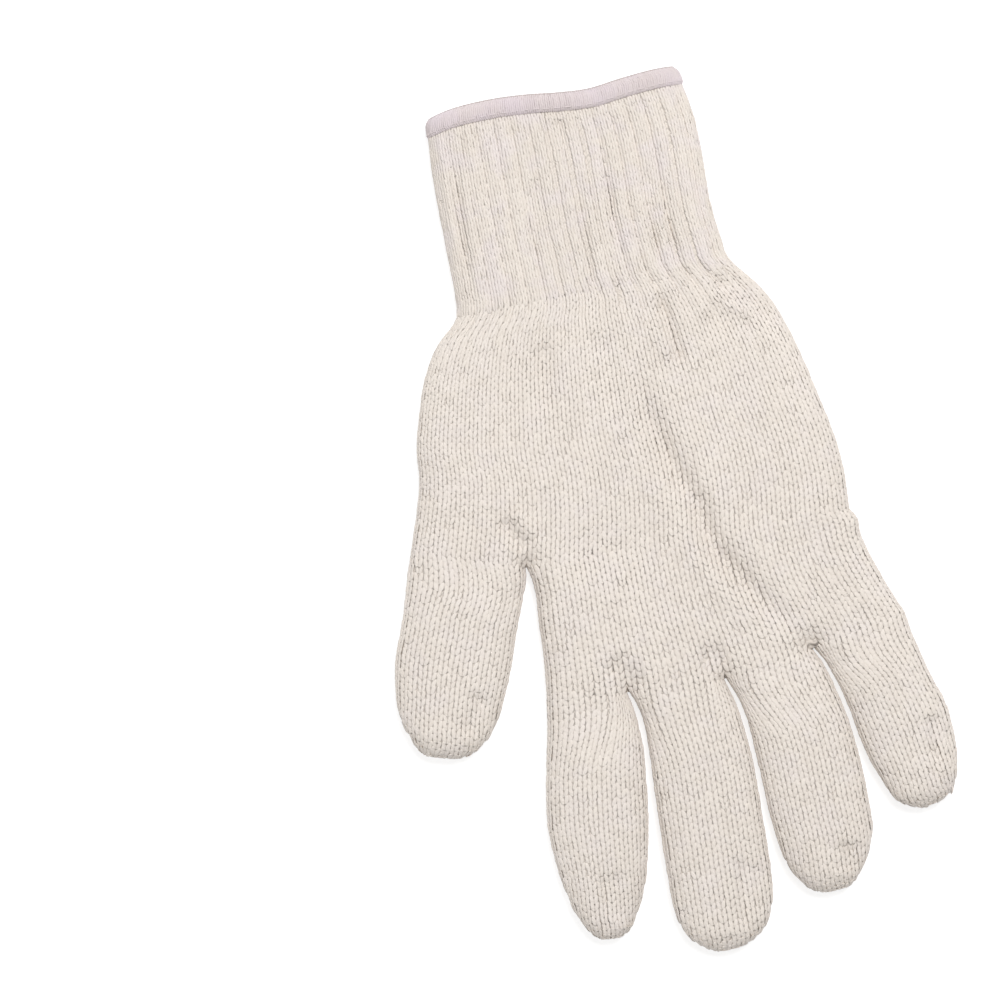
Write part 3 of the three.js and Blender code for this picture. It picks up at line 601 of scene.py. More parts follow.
@dataclass
class Tube:
    """One knitted tube: its plan, its sections, and how many stitches it has on each side."""

    plan: object
    wall: float
    wales: int
    height: object = lambda down: PALM_HEIGHT
    round_above: object = lambda down, half: PALM_ROUND_ABOVE
    stops: tuple = ()
    partings: tuple = ()
    length: float = None
    relief: object = None
    anchors: tuple = None
    narrow_after: float = None

    def full(self, down):
        """A closed tube flattens towards its tip as a ball does."""
        if self.length is None:
            return 1.0
        bend = max(1 - (1 - down) * self.length / TIP_ROUND, 0)
        return math.sqrt(max(1 - bend * bend, 0))

    def side(self, down, upper, inset, relaxed=False):
        """One layer's line across the tube, from its left side to its right side."""
        level = down if self.length is None else down * (1 - inset / self.length)
        ends = self.plan(np.array([0.0, 1.0]), level)
        half = max(np.linalg.norm(ends[1] - ends[0]) / 2, LEAST_HALF)
        height = self.height(down)
        side_line = height * SIDE_LINE
        reach = height - side_line if upper else side_line
        whole_round = min(self.round_above(down, half) if upper else ROUND_BELOW, half)
        inner_half = max(half - inset, LEAST_INNER_HALF)
        inner_round = min(max(whole_round - inset, whole_round * LEAST_ROUND_SHARE), inner_half)
        angle = np.linspace(0, math.pi / 2, CURVE_STEPS)
        flat = inner_half - inner_round
        curve = inner_half - inner_round * (1 - np.cos(angle))
        sideways = np.concatenate([-curve, np.linspace(-flat, flat, FLAT_STEPS)[1:-1], curve[::-1]])
        lift = np.concatenate([np.sin(angle), np.ones(FLAT_STEPS - 2), np.sin(angle)[::-1]])
        place = self.plan((sideways + half) / (2 * half), level)
        dent = pressed_in(place) if upper and not relaxed else 0
        away = self.wall - inset + (reach - self.wall) * (1 - dent)
        away = away + uneven(place, upper) * (1 if upper else LOWER_UNEVENNESS)
        if self.relief is not None and not relaxed:
            away = away - self.relief((sideways + half) / (2 * half), down)
        for parting in () if relaxed else self.partings:
            distance = np.linalg.norm(place - parting, axis=1) - inset
            share = np.clip(distance / (whole_round - inset), 0, 1)
            away = away * np.sqrt(1 - (1 - share) ** 2)
        away = away * lift * self.full(down)
        z = side_line + away if upper else np.maximum(side_line - away, inset + FLOOR_ROOM)
        return np.column_stack([place, z])

    def spots(self, columns, down, upper, inset):
        """Where the columns stand along a layer's line, and which of them are still on it."""
        line = self.side(down, upper, inset)
        # The wales are shared out along the line without folds, so that a fold doesn't bend them.
        relaxed = self.side(down, upper, inset, relaxed=True)
        lengths = lengths_along(relaxed)
        total = lengths[-1]
        if self.narrow_after is not None and down > self.narrow_after:
            # Near a tip the wales keep their distance from the middle and end at the edge.
            full_line = self.side(self.narrow_after, upper, inset, relaxed=True)
            full_total = lengths_along(full_line)[-1]
            arcs = total / 2 + (columns / self.wales - 0.5) * full_total
        else:
            counts, marks = [0, self.wales], [0, total]
            for count, share in self.stops:
                # A wale that must reach a crotch drifts towards it from its even place at the wrist.
                even = total * count / self.wales
                wanted = np.interp(self.plan(np.array([share]), down)[0, 0], line[:, 0], lengths)
                counts.insert(-1, count)
                marks.insert(-1, mix(even, wanted, float(ease(down / STOP_REACH))))
            arcs = np.interp(columns, counts, marks)
        if self.anchors is not None:
            # The wales of the tube before this one run on into it, and then spread evenly.
            anchored, places, reach = self.anchors
            before = np.interp(
                columns, [0, *anchored, self.wales],
                [0, *np.interp(places[upper], line[:, 0], lengths), total])
            arcs = mix(before, arcs, float(ease(down / reach)))
        margin = EDGE_MARGIN * total / self.wales
        kept = (arcs > margin) & (arcs < total - margin)
        arcs = np.clip(arcs, 0, total)
        return np.column_stack([np.interp(arcs, lengths, line[:, axis]) for axis in range(3)]), kept

    def column_places(self, down):
        """Where the wales stand from left to right, on the lower and on the upper layer."""
        columns = np.arange(self.wales) + 0.5
        return [
            self.spots(columns, down, upper, STITCH_INSET)[0][:, 0]
            for upper in (False, True)
        ]

    def ring(self, down, inset, offset=0.5):
        """Points of a course, the upper layer from left to right and then the lower one back."""
        columns = np.arange(self.wales) + offset
        above, kept_above = self.spots(columns, down, True, inset)
        columns = np.arange(self.wales) + 1 - offset
        below, kept_below = self.spots(columns, down, False, inset)
        return np.concatenate([above, below[::-1]]), np.concatenate([kept_above, kept_below[::-1]])


print("sections have", 2 * CURVE_STEPS + FLAT_STEPS - 2, "points a layer")

# %% [markdown]
# ## Yarn materials
#
# The yarn is spun polyester: soft, slightly fuzzy, a pinkish cream. Each leg of a stitch carries its
# own coordinates in the attribute `yarn`, so the twist of the strands follows the yarn. `shade` differs
# a little from stitch to stitch, and soft patches of a cooler tint lie over the cuff. The sides and the
# underside of each leg are painted darker, as painted shade between the legs. The backing cloth is a
# little darker, because less light gets between the stitches, and it shows as the pinholes of the
# knitting. A dark brown is mixed in as painted shade where the knitting is open and on the thread
# along the rim of the hem. The inside shows the rows of purl bumps.

# %% Materials
# the colour of painted shade in the open places of the knitting and on the hem's rim thread
PAINTED_SHADE_COLOUR = srgb(120, 104, 92)
YARN_SURFACE = {"Sheen Weight": 0.08, "Sheen Roughness": 0.6, "Specular IOR Level": 0.15}
BACKING_SURFACE = {"Sheen Weight": 0.15, "Specular IOR Level": 0.15}
# noise scales, in waves a metre
CLOUD, PATCH, LINT, FIBRE, PURL_LINT = 55.0, 130.0, 2600.0, 5200.0, 1800.0
CLOUD_SWING, SHADE_SWING, LINT_SWING, MIDDLE_SHADE = 0.5, 0.35, 0.5, 0.4
PATCH_SWING, PATCH_SHARE = 4.5, 0.2
HOLLOW_LEVEL, HOLLOW_SLOPE, HOLLOW_SHADE = 0.02, 2.2, 0.12
TWIST = {"along": 21.0, "across": 9.0, "above": 7.0}
TWIST_HEIGHT, FIBRE_HEIGHT, YARN_BUMP, YARN_BUMP_DEPTH = 0.5, 1.1, 0.3, 0.00012
ROUGHNESS_SWING, YARN_ROUGHNESS, BACKING_ROUGHNESS = 0.2, 0.78, 0.8
PURL_WAVE, PURL_SWING, PURL_LINT_SWING, PURL_SHARE = 0.22, 0.3, 0.4, 0.3
PURL_BUMP, PURL_BUMP_DEPTH, PURL_HEIGHT, PURL_LINT_HEIGHT = 0.7, 0.0006, 0.5, 0.3


def new_material(name, surface):
    """A material with its constant values set, its tree, and its shader."""
    material = bpy.data.materials.new(name)
    material.use_nodes = True
    shader = material.node_tree.nodes["Principled BSDF"]
    for socket, value in surface.items():
        shader.inputs[socket].default_value = value
    return material, Tree(material.node_tree), shader


def make_yarn(name, light, dark, tint, tint_amount):
    """Spun yarn: close colours, cooler patches, painted shade, twisted strands and fine fibres."""
    material, tree, shader = new_material(name, YARN_SURFACE)
    place = tree.add("ShaderNodeTexCoord", out="Object")
    yarn = tree.attribute("yarn", "Vector")
    across, along, above = tree.axes(yarn)
    cloud = tree.noise(place, CLOUD, MORE_DETAIL)
    patch = tree.noise(place, PATCH)
    fine = tree.noise(place, LINT)
    share = (
        (cloud - 0.5) * CLOUD_SWING + (tree.attribute("shade") - 0.5) * SHADE_SWING
        + (fine - 0.5) * LINT_SWING + MIDDLE_SHADE)
    colour = tree.mix(share.clamped(), light, dark)
    cooler = ((patch - 0.5) * PATCH_SWING + PATCH_SHARE).clamped() * tint_amount
    tinted = tree.mix(cooler, colour, tint)
    # painted shade: the sides and the underside of each leg are darkened towards the dark colour
    painted_hollow_shade = ((HOLLOW_LEVEL - above) * HOLLOW_SLOPE).clamped() * HOLLOW_SHADE
    shaded = tree.mix(painted_hollow_shade, tinted, dark)
    # painted shade: darker where the knitting is open and on the hem's rim thread
    tree.feed(shader, "Base Color", tree.mix(tree.attribute("hole"), shaded, PAINTED_SHADE_COLOUR))
    tree.feed(shader, "Roughness", (fine * ROUGHNESS_SWING + YARN_ROUGHNESS).clamped())
    twist = (along * TWIST["along"] + across * TWIST["across"] + above * TWIST["above"]).sine()
    height = twist * TWIST_HEIGHT + tree.noise(place, FIBRE) * FIBRE_HEIGHT
    tree.bump(shader, YARN_BUMP, YARN_BUMP_DEPTH, height)
    return material


def make_backing(name, outside, inside):
    """The backs of the stitches, seen between them from outside and as purl bumps from inside."""
    material, tree, shader = new_material(name, BACKING_SURFACE)
    wale, course, _ = tree.axes(tree.add("ShaderNodeUVMap", {"uv_map": "cloth"}, out="UV"))
    wave = (wale * math.tau).sine() * PURL_WAVE
    bumps = ((course + wave) * math.tau).sine()
    fine = tree.noise(tree.add("ShaderNodeTexCoord", out="Object"), PURL_LINT, MORE_DETAIL)
    purl_share = bumps * PURL_SWING + fine * PURL_LINT_SWING + PURL_SHARE
    purl = tree.mix(purl_share.clamped(), outside, inside)
    seen = tree.mix(tree.attribute("inner"), outside, purl)
    # painted shade: the backing is darker where the knitting is open
    tree.feed(shader, "Base Color", tree.mix(tree.attribute("hole"), seen, PAINTED_SHADE_COLOUR))
    tree.feed(shader, "Roughness", (fine * ROUGHNESS_SWING + BACKING_ROUGHNESS).clamped())
    tree.bump(shader, PURL_BUMP, PURL_BUMP_DEPTH, bumps * PURL_HEIGHT + fine * PURL_LINT_HEIGHT)
    return material


knit_yarn = make_yarn("knit_yarn", srgb(224, 216, 208), srgb(211, 202, 193), srgb(219, 211, 210), 0.25)
cuff_yarn = make_yarn("cuff_yarn", srgb(223, 215, 207), srgb(211, 202, 193), srgb(217, 208, 211), 0.42)
hem_thread = make_yarn("hem_thread", srgb(213, 203, 203), srgb(201, 190, 190), srgb(210, 199, 205), 0.6)
backing = make_backing("backing_cloth", srgb(219, 210, 201), srgb(224, 214, 204))
hem_backing = make_backing("hem_backing", srgb(208, 197, 198), srgb(215, 205, 204))
print("materials:", ", ".join(material.name for material in (knit_yarn, cuff_yarn, hem_thread, backing)))

# %% [markdown]
# ## One stitch as a geometry node group
#
# On the face of plain knitting each stitch shows as a V: two short lengths of yarn, the legs, that
# lean together towards the fingertips. A leg is a low ball that is stretched and filled out. The legs
# are wider than their share of the cloth and run into each other, so a row of them looks like a rope,
# and a pinhole stays open only where four of them meet. The group takes the sizes of a leg in
# millimetres. It is small, because it is repeated thousands of times.

# %% The leg of a stitch
def add_inputs(group, sockets):
    for name, kind, value in sockets:
        item = group.interface.new_socket(name, in_out="INPUT", socket_type="NodeSocket" + kind)
        if value is not None:
            item.default_value = value


LEG_SIZES = (
    ("Side", "Float", 1.0), ("Segments", "Int", 6), ("Rings", "Int", 4), ("Width", "Float", 1.5),
    ("Length", "Float", 3.2), ("Thickness", "Float", 0.42), ("Fullness", "Float", 0.0),
    ("Slant", "Float", 12.5), ("Spread", "Float", 0.68),
)
leg_group = bpy.data.node_groups.new("leg_of_a_stitch", "GeometryNodeTree")
add_inputs(leg_group, LEG_SIZES)
leg_group.interface.new_socket("Leg", in_out="OUTPUT", socket_type="NodeSocketGeometry")
tree = Tree(leg_group)
group_input = leg_group.nodes.new("NodeGroupInput")
size = {name: Wire(tree, group_input.outputs[name]) for name, _, _ in LEG_SIZES}
ball = tree.add(
    "GeometryNodeMeshUVSphere", {},
    {"Segments": size["Segments"], "Rings": size["Rings"], "Radius": 0.5})
ball = tree.shape("GeometryNodeTransform", ball, {"Rotation": (math.pi / 2, 0, 0)})
position = tree.add("GeometryNodeInputPosition")
ball = tree.shape(
    "GeometryNodeStoreNamedAttribute", ball, {"Name": "yarn", "Value": position},
    {"data_type": "FLOAT_VECTOR", "domain": "POINT"})
x, y, z = tree.axes(position)
filled = 1 + size["Fullness"] * 4 * y * y
place = tree.vector(
    X=x * filled * size["Width"], Y=y * size["Length"], Z=z * filled * size["Thickness"])
leg = tree.shape("GeometryNodeSetPosition", ball, {"Position": place})
leg = tree.shape("GeometryNodeTransform", leg, {
    "Rotation": tree.vector(Z=size["Side"] * size["Slant"] * -math.radians(1)),
    "Translation": tree.vector(X=size["Side"] * size["Spread"])})
group_output = leg_group.nodes.new("NodeGroupOutput")
leg_group.links.new(leg.socket, group_output.inputs["Leg"])
print("the leg group has", len(leg_group.nodes), "nodes")

# %% [markdown]
# ## The knitting tree
#
# One tree finishes every piece. It gets a mesh that holds three things: faces, which are the backing
# cloth; loose edges, which are the paths of threads; and loose points, one for each stitch. The points
# carry the way out of the cloth, the way towards the cuff, and the size of the stitch. The tree puts a V
# on each point and a round thread along each path, makes them real and gives the materials.

# %% The knitting tree
KNIT_SIZES = (
    *LEG_SIZES[1:],
    ("Thread sides", "Int", 6), ("Yarn", "Material", None), ("Backing", "Material", None),
)
TABLE_GAP = 0.02 * MM
knit_group = bpy.data.node_groups.new("knitting", "GeometryNodeTree")
knit_group.interface.new_socket("Lattice", in_out="INPUT", socket_type="NodeSocketGeometry")
add_inputs(knit_group, KNIT_SIZES)
knit_group.interface.new_socket("Knitting", in_out="OUTPUT", socket_type="NodeSocketGeometry")
tree = Tree(knit_group)
group_input = knit_group.nodes.new("NodeGroupInput")
size = {name: Wire(tree, group_input.outputs[name]) for name, _, _ in KNIT_SIZES}


def named(name, kind="FLOAT"):
    return tree.add("GeometryNodeInputNamedAttribute", {"data_type": kind}, {"Name": name}, "Attribute")


def part_of(geometry, name):
    """The points with a mark, and the rest."""
    wire = tree.add("GeometryNodeSeparateGeometry", {"domain": "POINT"},
                    {"Geometry": geometry, "Selection": named(name, "BOOLEAN")}, "Selection")
    node = wire.socket.node
    return wire, Wire(tree, node.outputs["Inverted"])


def add_leg(side):
    node = knit_group.nodes.new("GeometryNodeGroup")
    node.node_tree = leg_group
    node.inputs["Side"].default_value = side
    for name, _, _ in LEG_SIZES[1:]:
        knit_group.links.new(size[name].socket, node.inputs[name])
    return Wire(tree, node.outputs["Leg"])


stitch_points, other = part_of(Wire(tree, group_input.outputs["Lattice"]), "stitch")
thread_paths, cloth = part_of(other, "thread")
vee = tree.add("GeometryNodeJoinGeometry", {}, {"Geometry": [add_leg(-1.0), add_leg(1.0)]})
facing = tree.add(
    "FunctionNodeAxesToRotation", {"primary_axis": "Z", "secondary_axis": "Y"},
    {"Primary Axis": named("out", "FLOAT_VECTOR"), "Secondary Axis": named("up", "FLOAT_VECTOR")})
stitches = tree.add("GeometryNodeInstanceOnPoints", {}, {
    "Points": stitch_points, "Instance": vee, "Rotation": facing, "Scale": named("size", "FLOAT_VECTOR")})
paths = tree.add("GeometryNodeMeshToCurve", {}, {"Mesh": thread_paths})
outline = tree.add(
    "GeometryNodeCurvePrimitiveCircle", {}, {"Resolution": size["Thread sides"], "Radius": 1.0}, "Curve")
threads = tree.add("GeometryNodeCurveToMesh", {}, {
    "Curve": paths, "Profile Curve": outline, "Scale": named("thickness"), "Fill Caps": True})
joined = tree.add("GeometryNodeJoinGeometry", {}, {"Geometry": [stitches, threads, cloth]})
for mark in ("out", "up", "size", "stitch", "thread", "thickness"):
    joined = tree.shape("GeometryNodeRemoveAttribute", joined, {"Name": mark})
joined = tree.shape("GeometryNodeSetShadeSmooth", joined)
real = tree.shape("GeometryNodeRealizeInstances", joined)
# What would poke through the table is pressed flat on it.
x, y, z = tree.axes(tree.add("GeometryNodeInputPosition"))
on_table = tree.vector(X=x, Y=y, Z=z.math("MAXIMUM", z, TABLE_GAP))
real = tree.shape("GeometryNodeSetPosition", real, {"Position": on_table})
real = tree.shape("GeometryNodeSetMaterial", real, {"Material": size["Yarn"]})
is_backing = tree.add("FunctionNodeCompare", {"operation": "GREATER_THAN"}, {0: named("backing"), 1: 0.5})
real = tree.shape("GeometryNodeSetMaterial", real, {"Selection": is_backing, "Material": size["Backing"]})
group_output = knit_group.nodes.new("NodeGroupOutput")
knit_group.links.new(real.socket, group_output.inputs["Knitting"])
print("the knitting tree has", len(knit_group.nodes), "nodes")

# %% [markdown]
# ## The stitch lattice
#
# Plain knitting is a lattice of courses and wales. For each course the tube's section is divided evenly
# into wales, and each crossing becomes one point with its directions and its size. Small random
# differences, always the same because the seed is fixed, keep it from looking like a machine's pattern.

# %% Stitch points
BACKING_INSET = 0.61
FOLD_ROOM = 0.8
SEED = 11
LEAST_LENGTH = 1e-9
rng = np.random.default_rng(SEED)


def unit(vectors):
    return vectors / np.maximum(np.linalg.norm(vectors, axis=-1, keepdims=True), LEAST_LENGTH)


class Lattice:
    """Vertices, edges, faces and marks of one base mesh, gathered before the mesh is made."""

    MARKS = {
        **dict.fromkeys(("stitch", "thread"), ("BOOLEAN", "value", 1)),
        **dict.fromkeys(("out", "up", "size"), ("FLOAT_VECTOR", "vector", 3)),
        **dict.fromkeys(("shade", "backing", "inner", "thickness", "hole"), ("FLOAT", "value", 1)),
    }

    def __init__(self):
        self.places = []
        self.edges = []
        self.faces = []
        self.cloth = []
        self.marks = {name: [] for name in self.MARKS}
        self.count = 0

    def add_points(self, places, **marks):
        first = self.count
        self.places.append(np.asarray(places, float))
        for name, (_, _, width) in self.MARKS.items():
            value = np.asarray(marks.get(name, 0), float)
            shape = (len(places), width) if width > 1 else (len(places),)
            self.marks[name].append(np.broadcast_to(value, shape).reshape(-1))
        self.count += len(places)
        return first

    def mesh(self, name):
        """The base mesh, in metres and in the place where the CAD glove lies."""
        places = (np.concatenate(self.places) + GLOVE_SHIFT) * MM
        mesh = bpy.data.meshes.new(name)
        mesh.from_pydata(places.tolist(), self.edges, self.faces)
        for mark, (kind, field, _) in self.MARKS.items():
            data = np.concatenate(self.marks[mark])
            attribute = mesh.attributes.new(mark, kind, "POINT")
            attribute.data.foreach_set(field, data > 0.5 if kind == "BOOLEAN" else data)
        if self.cloth:
            mesh.uv_layers.new(name="cloth").data.foreach_set("uv", np.array(self.cloth, float).reshape(-1))
        return mesh


palm_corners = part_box("five_finger_palm")
GLOVE_SHIFT = np.array([
    palm_corners[0][0] / MM - thumb_outer[0],
    palm_corners[1][1] / MM,
    0.0,
])
print("the glove's own origin lies at", GLOVE_SHIFT.round(2), "mm")

# %% Open places
# Where fingers are joined the stitches are pulled apart. Place, reach, and how much smaller they get.
HOLES = (
    (-28.4, -65.0, 1.6, 0.30), (-34.0, -71.5, 3.5, 0.10),
    *((point[0], point[1] + 1.5, 3.5, 0.09) for point in knuckles[1:-1]),
    *((point[0] - 7.0, point[1] + 2.0, 5.0, 0.07) for point in knuckles[1:-1]),
    (-16.5, -108.0, 2.0, 0.14),
)
# how strongly the backing in the open places is painted darker, as painted shade
HOLE_PAINTED_SHADE = 1.5


def openness(place):
    total = np.zeros(len(place))
    for x, y, reach, amount in HOLES:
        distance = np.linalg.norm(place[:, :2] - np.array([x, y]), axis=1)
        total = np.maximum(total, amount * np.exp(-((distance / reach) ** 2)))
    return total * (place[:, 2] > PALM_HEIGHT * SIDE_LINE)


print(len(HOLES), "open places")

# %% Filling a lattice
JITTER = {"place": 0.05, "size": 0.04, "turn": 0.045}
JITTER_WAYS = np.array([1, 1, 0.5])
MOST_JITTER = 2.0
# A few stitches are slack: their share, and how much smaller their yarn leaves them.
KNIT_SLACK = 0.03
SLACK_OPENING = 0.2


def limited(shape):
    """Random differences without far strays."""
    return np.clip(rng.normal(0, 1, shape), -MOST_JITTER, MOST_JITTER)


def add_stitches(lattice, tube, downs, gauge, towards_hem=1, layers=(0, 1), slack=KNIT_SLACK):
    """Puts a stitch point at each crossing of a course and a wale. Returns how many were made."""
    wale_gauge, course_gauge = gauge
    made = 0
    for before, after in zip(downs, downs[1:]):
        middle = (before + after) / 2
        centre, kept = tube.ring(middle, STITCH_INSET)
        first, _ = tube.ring(before, STITCH_INSET)
        last, last_kept = tube.ring(after, STITCH_INSET)
        across = tube.ring(middle, STITCH_INSET, 0.75)[0] - tube.ring(middle, STITCH_INSET, 0.25)[0]
        down_way = np.where(last_kept[:, None], last - first, 2 * (centre - first))
        up = -down_way * towards_hem
        wale = 2 * np.linalg.norm(across, axis=1)
        course = np.linalg.norm(up, axis=1)
        out = unit(np.cross(across, up))
        up = unit(up)
        count = len(centre)
        narrower = 1 - np.maximum(openness(centre), SLACK_OPENING * (rng.random(count) < slack))
        noise_place = limited((count, 3)) * JITTER["place"] * JITTER_WAYS
        noise_turn = limited((count, 1)) * JITTER["turn"]
        noise_size = 1 + limited(count) * JITTER["size"]
        shade = rng.random(count)
        place = centre + noise_place
        size = np.column_stack([
            wale / wale_gauge * noise_size * narrower, course / course_gauge * noise_size * narrower,
            noise_size]) * MM
        layer = np.arange(count) // tube.wales
        chosen = kept & np.isin(layer, layers)
        lattice.add_points(
            place[chosen], stitch=1, out=out[chosen],
            up=unit(up + np.cross(out, up) * noise_turn)[chosen],
            size=size[chosen], shade=shade[chosen])
        made += int(chosen.sum())
    return made


def add_backing(lattice, tube, downs, closed, outer_inset=BACKING_INSET, inner_inset=None):
    """The closed shell of cloth behind the stitches, with its inside and its rims."""
    inner_inset = tube.wall if inner_inset is None else inner_inset
    narrow, tube.narrow_after = tube.narrow_after, None
    rows = list(downs[:-1]) if closed else list(downs)
    count = 2 * tube.wales
    starts = []
    for inner, inset in enumerate((outer_inset, inner_inset)):
        ring_starts = []
        for down in rows:
            ring, _ = tube.ring(down, inset, 0.0)
            # The backing is coarser than the stitches, so it keeps further back in a fold.
            is_above = ring[:, 2] > PALM_HEIGHT * SIDE_LINE
            ring[:, 2] -= FOLD_ROOM * np.clip(pressed_in(ring[:, :2]), 0, 1) * is_above * (1 - inner)
            # painted shade: the outer backing gets darker in the open places
            painted_shade_here = 0 if inner else np.clip(openness(ring) * HOLE_PAINTED_SHADE, 0, 1)
            ring_starts.append(lattice.add_points(ring, backing=1, inner=inner, hole=painted_shade_here))
        starts.append(ring_starts)
    faces, cloth = [], []

    def add_face(corners, spots, turn):
        faces.append(corners[::-1] if turn else corners)
        cloth.extend(spots[::-1] if turn else spots)

    def add_band(first, second, row, turn):
        for place in range(count):
            following = (place + 1) % count
            add_face(
                [first + place, first + following, second + following, second + place],
                [(place, row), (place + 1, row), (place + 1, row + 1), (place, row + 1)], turn)

    for row in range(len(rows) - 1):
        add_band(starts[0][row], starts[0][row + 1], row, False)
        add_band(starts[1][row], starts[1][row + 1], row, True)
    add_band(starts[0][0], starts[1][0], 0, True)
    if closed:
        for inner, inset in enumerate((outer_inset, inner_inset)):
            tip, _ = tube.ring(1.0, inset, 0.0)
            point = lattice.add_points(tip.mean(axis=0)[None], backing=1, inner=inner)
            last, row = starts[inner][-1], len(rows)
            for place in range(count):
                add_face(
                    [last + place, last + (place + 1) % count, point],
                    [(place, row), (place + 1, row), (place + 0.5, row + 1)], inner)
    else:
        add_band(starts[0][-1], starts[1][-1], len(rows), False)
    tube.narrow_after = narrow
    places = np.concatenate(lattice.places)
    volume = sum(
        np.dot(places[face[0]], np.cross(places[face[step]], places[face[step + 1]]))
        for face in faces for step in range(1, len(face) - 1))
    if volume < 0:
        turned_cloth, start = [], 0
        for face in faces:
            turned_cloth.extend(cloth[start:start + len(face)][::-1])
            start += len(face)
        cloth = turned_cloth
        faces = [face[::-1] for face in faces]
    lattice.faces.extend(faces)
    lattice.cloth.extend(cloth)


print("stitches may wander by", JITTER["place"], "mm")

# %% [markdown]
# ## From lattice to piece
#
# A base mesh gets the knitting tree as a modifier. Its result is taken as a plain mesh, and the
# modifier and the base mesh go. The piece rides on the glove's one body and stands for its CAD node.

# %% Making a piece
FLEXIBLE_BODY = "root"
# the width of a wale and the height of a course
KNIT_GAUGE = (2.74, 1.96)
triangles_made = {}


def make_piece(name, lattice, sizes, yarn, nodes, behind=backing):
    """Runs the knitting tree on a lattice and makes the result a piece."""
    base = bpy.data.objects.new(name + "_base", lattice.mesh(name + "_base"))
    bpy.context.scene.collection.objects.link(base)
    modifier = base.modifiers.new("knitting", "NODES")
    modifier.node_group = knit_group
    values = {"Yarn": yarn, "Backing": behind, **sizes}
    for item in knit_group.interface.items_tree:
        if item.in_out == "INPUT" and item.name in values:
            modifier[item.identifier] = values[item.name]
    graph = bpy.context.evaluated_depsgraph_get()
    mesh = bpy.data.meshes.new_from_object(
        base.evaluated_get(graph), preserve_all_data_layers=True, depsgraph=graph)
    base_mesh = base.data
    bpy.data.objects.remove(base)
    bpy.data.meshes.remove(base_mesh)
    mesh.name = name
    piece = bpy.data.objects.new(name, mesh)
    bpy.context.scene.collection.objects.link(piece)
    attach(piece, FLEXIBLE_BODY)
    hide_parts(*nodes)
    triangles_made[name] = sum(len(polygon.vertices) - 2 for polygon in mesh.polygons)
    heights = np.empty(len(mesh.vertices) * 3)
    mesh.vertices.foreach_get("co", heights)
    lowest, highest = heights[2::3].min() / MM, heights[2::3].max() / MM
    print(f"{name}: {triangles_made[name]} triangles, from {lowest:.2f} to {highest:.2f} mm high")


def knit(
        name, tube, downs, sizes, node,
        yarn=knit_yarn, slot="knit_yarn", gauge=KNIT_GAUGE, backed=True, closed=False, **choices):
    """A piece with the stitches of one tube and the backing cloth behind them."""
    lattice = Lattice()
    count = add_stitches(lattice, tube, downs, gauge, **choices)
    if backed:
        add_backing(lattice, tube, downs, closed)
    make_piece(name, lattice, sizes, yarn, [node])
    print("  courses", len(downs) - 1, "stitches", count)


# %% [markdown]
# ## The palm
#
# The five-finger palm runs from the wrist to the thumb line, 48 wales on each side. At the thumb line
# thirteen of them turn into the thumb and 35 go on into the four-finger palm. The five-finger palm is
# the largest piece, so its upper and lower layers are two objects. Where two tubes part, both layers
# sink towards the side line.

# %% Palm
KNIT_LEG = {
    "Width": 1.58, "Length": 3.24, "Thickness": 0.42, "Slant": 12.5, "Spread": 0.685, "Fullness": 0.0}
COARSE = {"Segments": 5}
THUMB_WALES = 13
PALM_WALES = 48
FIVE_FINGER_COURSES = 38
FOUR_FINGER_COURSES = 20

RIB_WALES = 3
RIB_DEPTH = 0.76
RIB_ON_THUMB_SIDE = 0.45
RIB_FADES_BY = 0.22
RIB_FADES_FROM = 0.86
RIB_LOST_AT_HEM = 0.8


def ribs(across, strength):
    """Every third wale of the cuff sinks back, most on the little finger's side."""
    sunk = 0.5 + 0.5 * np.cos(math.tau * (across * PALM_WALES - 0.5) / RIB_WALES)
    return strength * RIB_DEPTH * mix(RIB_ON_THUMB_SIDE, 1.0, across) * sunk**2


five_palm = Tube(
    five_finger_plan, KNIT_WALL, PALM_WALES,
    stops=((THUMB_WALES, crotch_across),), partings=(crotch,),
    relief=lambda across, down: ribs(across, 1 - float(ease(down / RIB_FADES_BY))))
five_downs = np.linspace(0, 1, FIVE_FINGER_COURSES + 1)
knit(
    "five_finger_palm_face", five_palm, five_downs, KNIT_LEG, "five_finger_palm",
    backed=False, layers=(0,))
knit(
    "five_finger_palm_back", five_palm, five_downs, {**KNIT_LEG, **COARSE}, "five_finger_palm",
    layers=(1,))

four_palm = Tube(
    four_finger_plan, KNIT_WALL, PALM_WALES - THUMB_WALES, partings=tuple(knuckles[1:-1]))
PALM_ANCHOR_REACH = 0.8
SIDE_WALES = 4
CROTCH_WALES = 2
four_palm.anchors = (
    np.arange(CROTCH_WALES, four_palm.wales - SIDE_WALES) + 0.5,
    [places[THUMB_WALES + CROTCH_WALES:-SIDE_WALES] for places in five_palm.column_places(1.0)],
    PALM_ANCHOR_REACH)
four_downs = np.linspace(0, 1, FOUR_FINGER_COURSES + 1)
knit("four_finger_palm_knit", four_palm, four_downs, KNIT_LEG, "four_finger_palm")

# %% [markdown]
# ## The fingers
#
# A finger is a closed tube. Its courses are spaced evenly over the dome of the tip. The wales run
# straight on near the tip and end at the edge one after the other, as on a real glove.

# %% Fingers
FINGER_WALES = {
    "thumb": THUMB_WALES, "index_finger": 12, "middle_finger": 12, "ring_finger": 12, "little_finger": 11}
NARROW_AFTER = 0.72
WAY_STEPS = 241


def even_courses(tube, pitch):
    """Places along a closed tube that are one course apart over its middle line, up to the tip."""
    places = np.linspace(0, 1, WAY_STEPS)
    middle = CURVE_STEPS + FLAT_STEPS // 2
    way = np.array([tube.side(place, True, STITCH_INSET)[middle] for place in places])
    lengths = lengths_along(way)
    count = round(lengths[-1] / pitch)
    return np.interp(np.linspace(0, lengths[-1], count + 1), lengths, places)


FINGER_ANCHOR_REACH = 0.32
CROTCH_ROOM = 4.0
palm_places = four_palm.column_places(1.0)


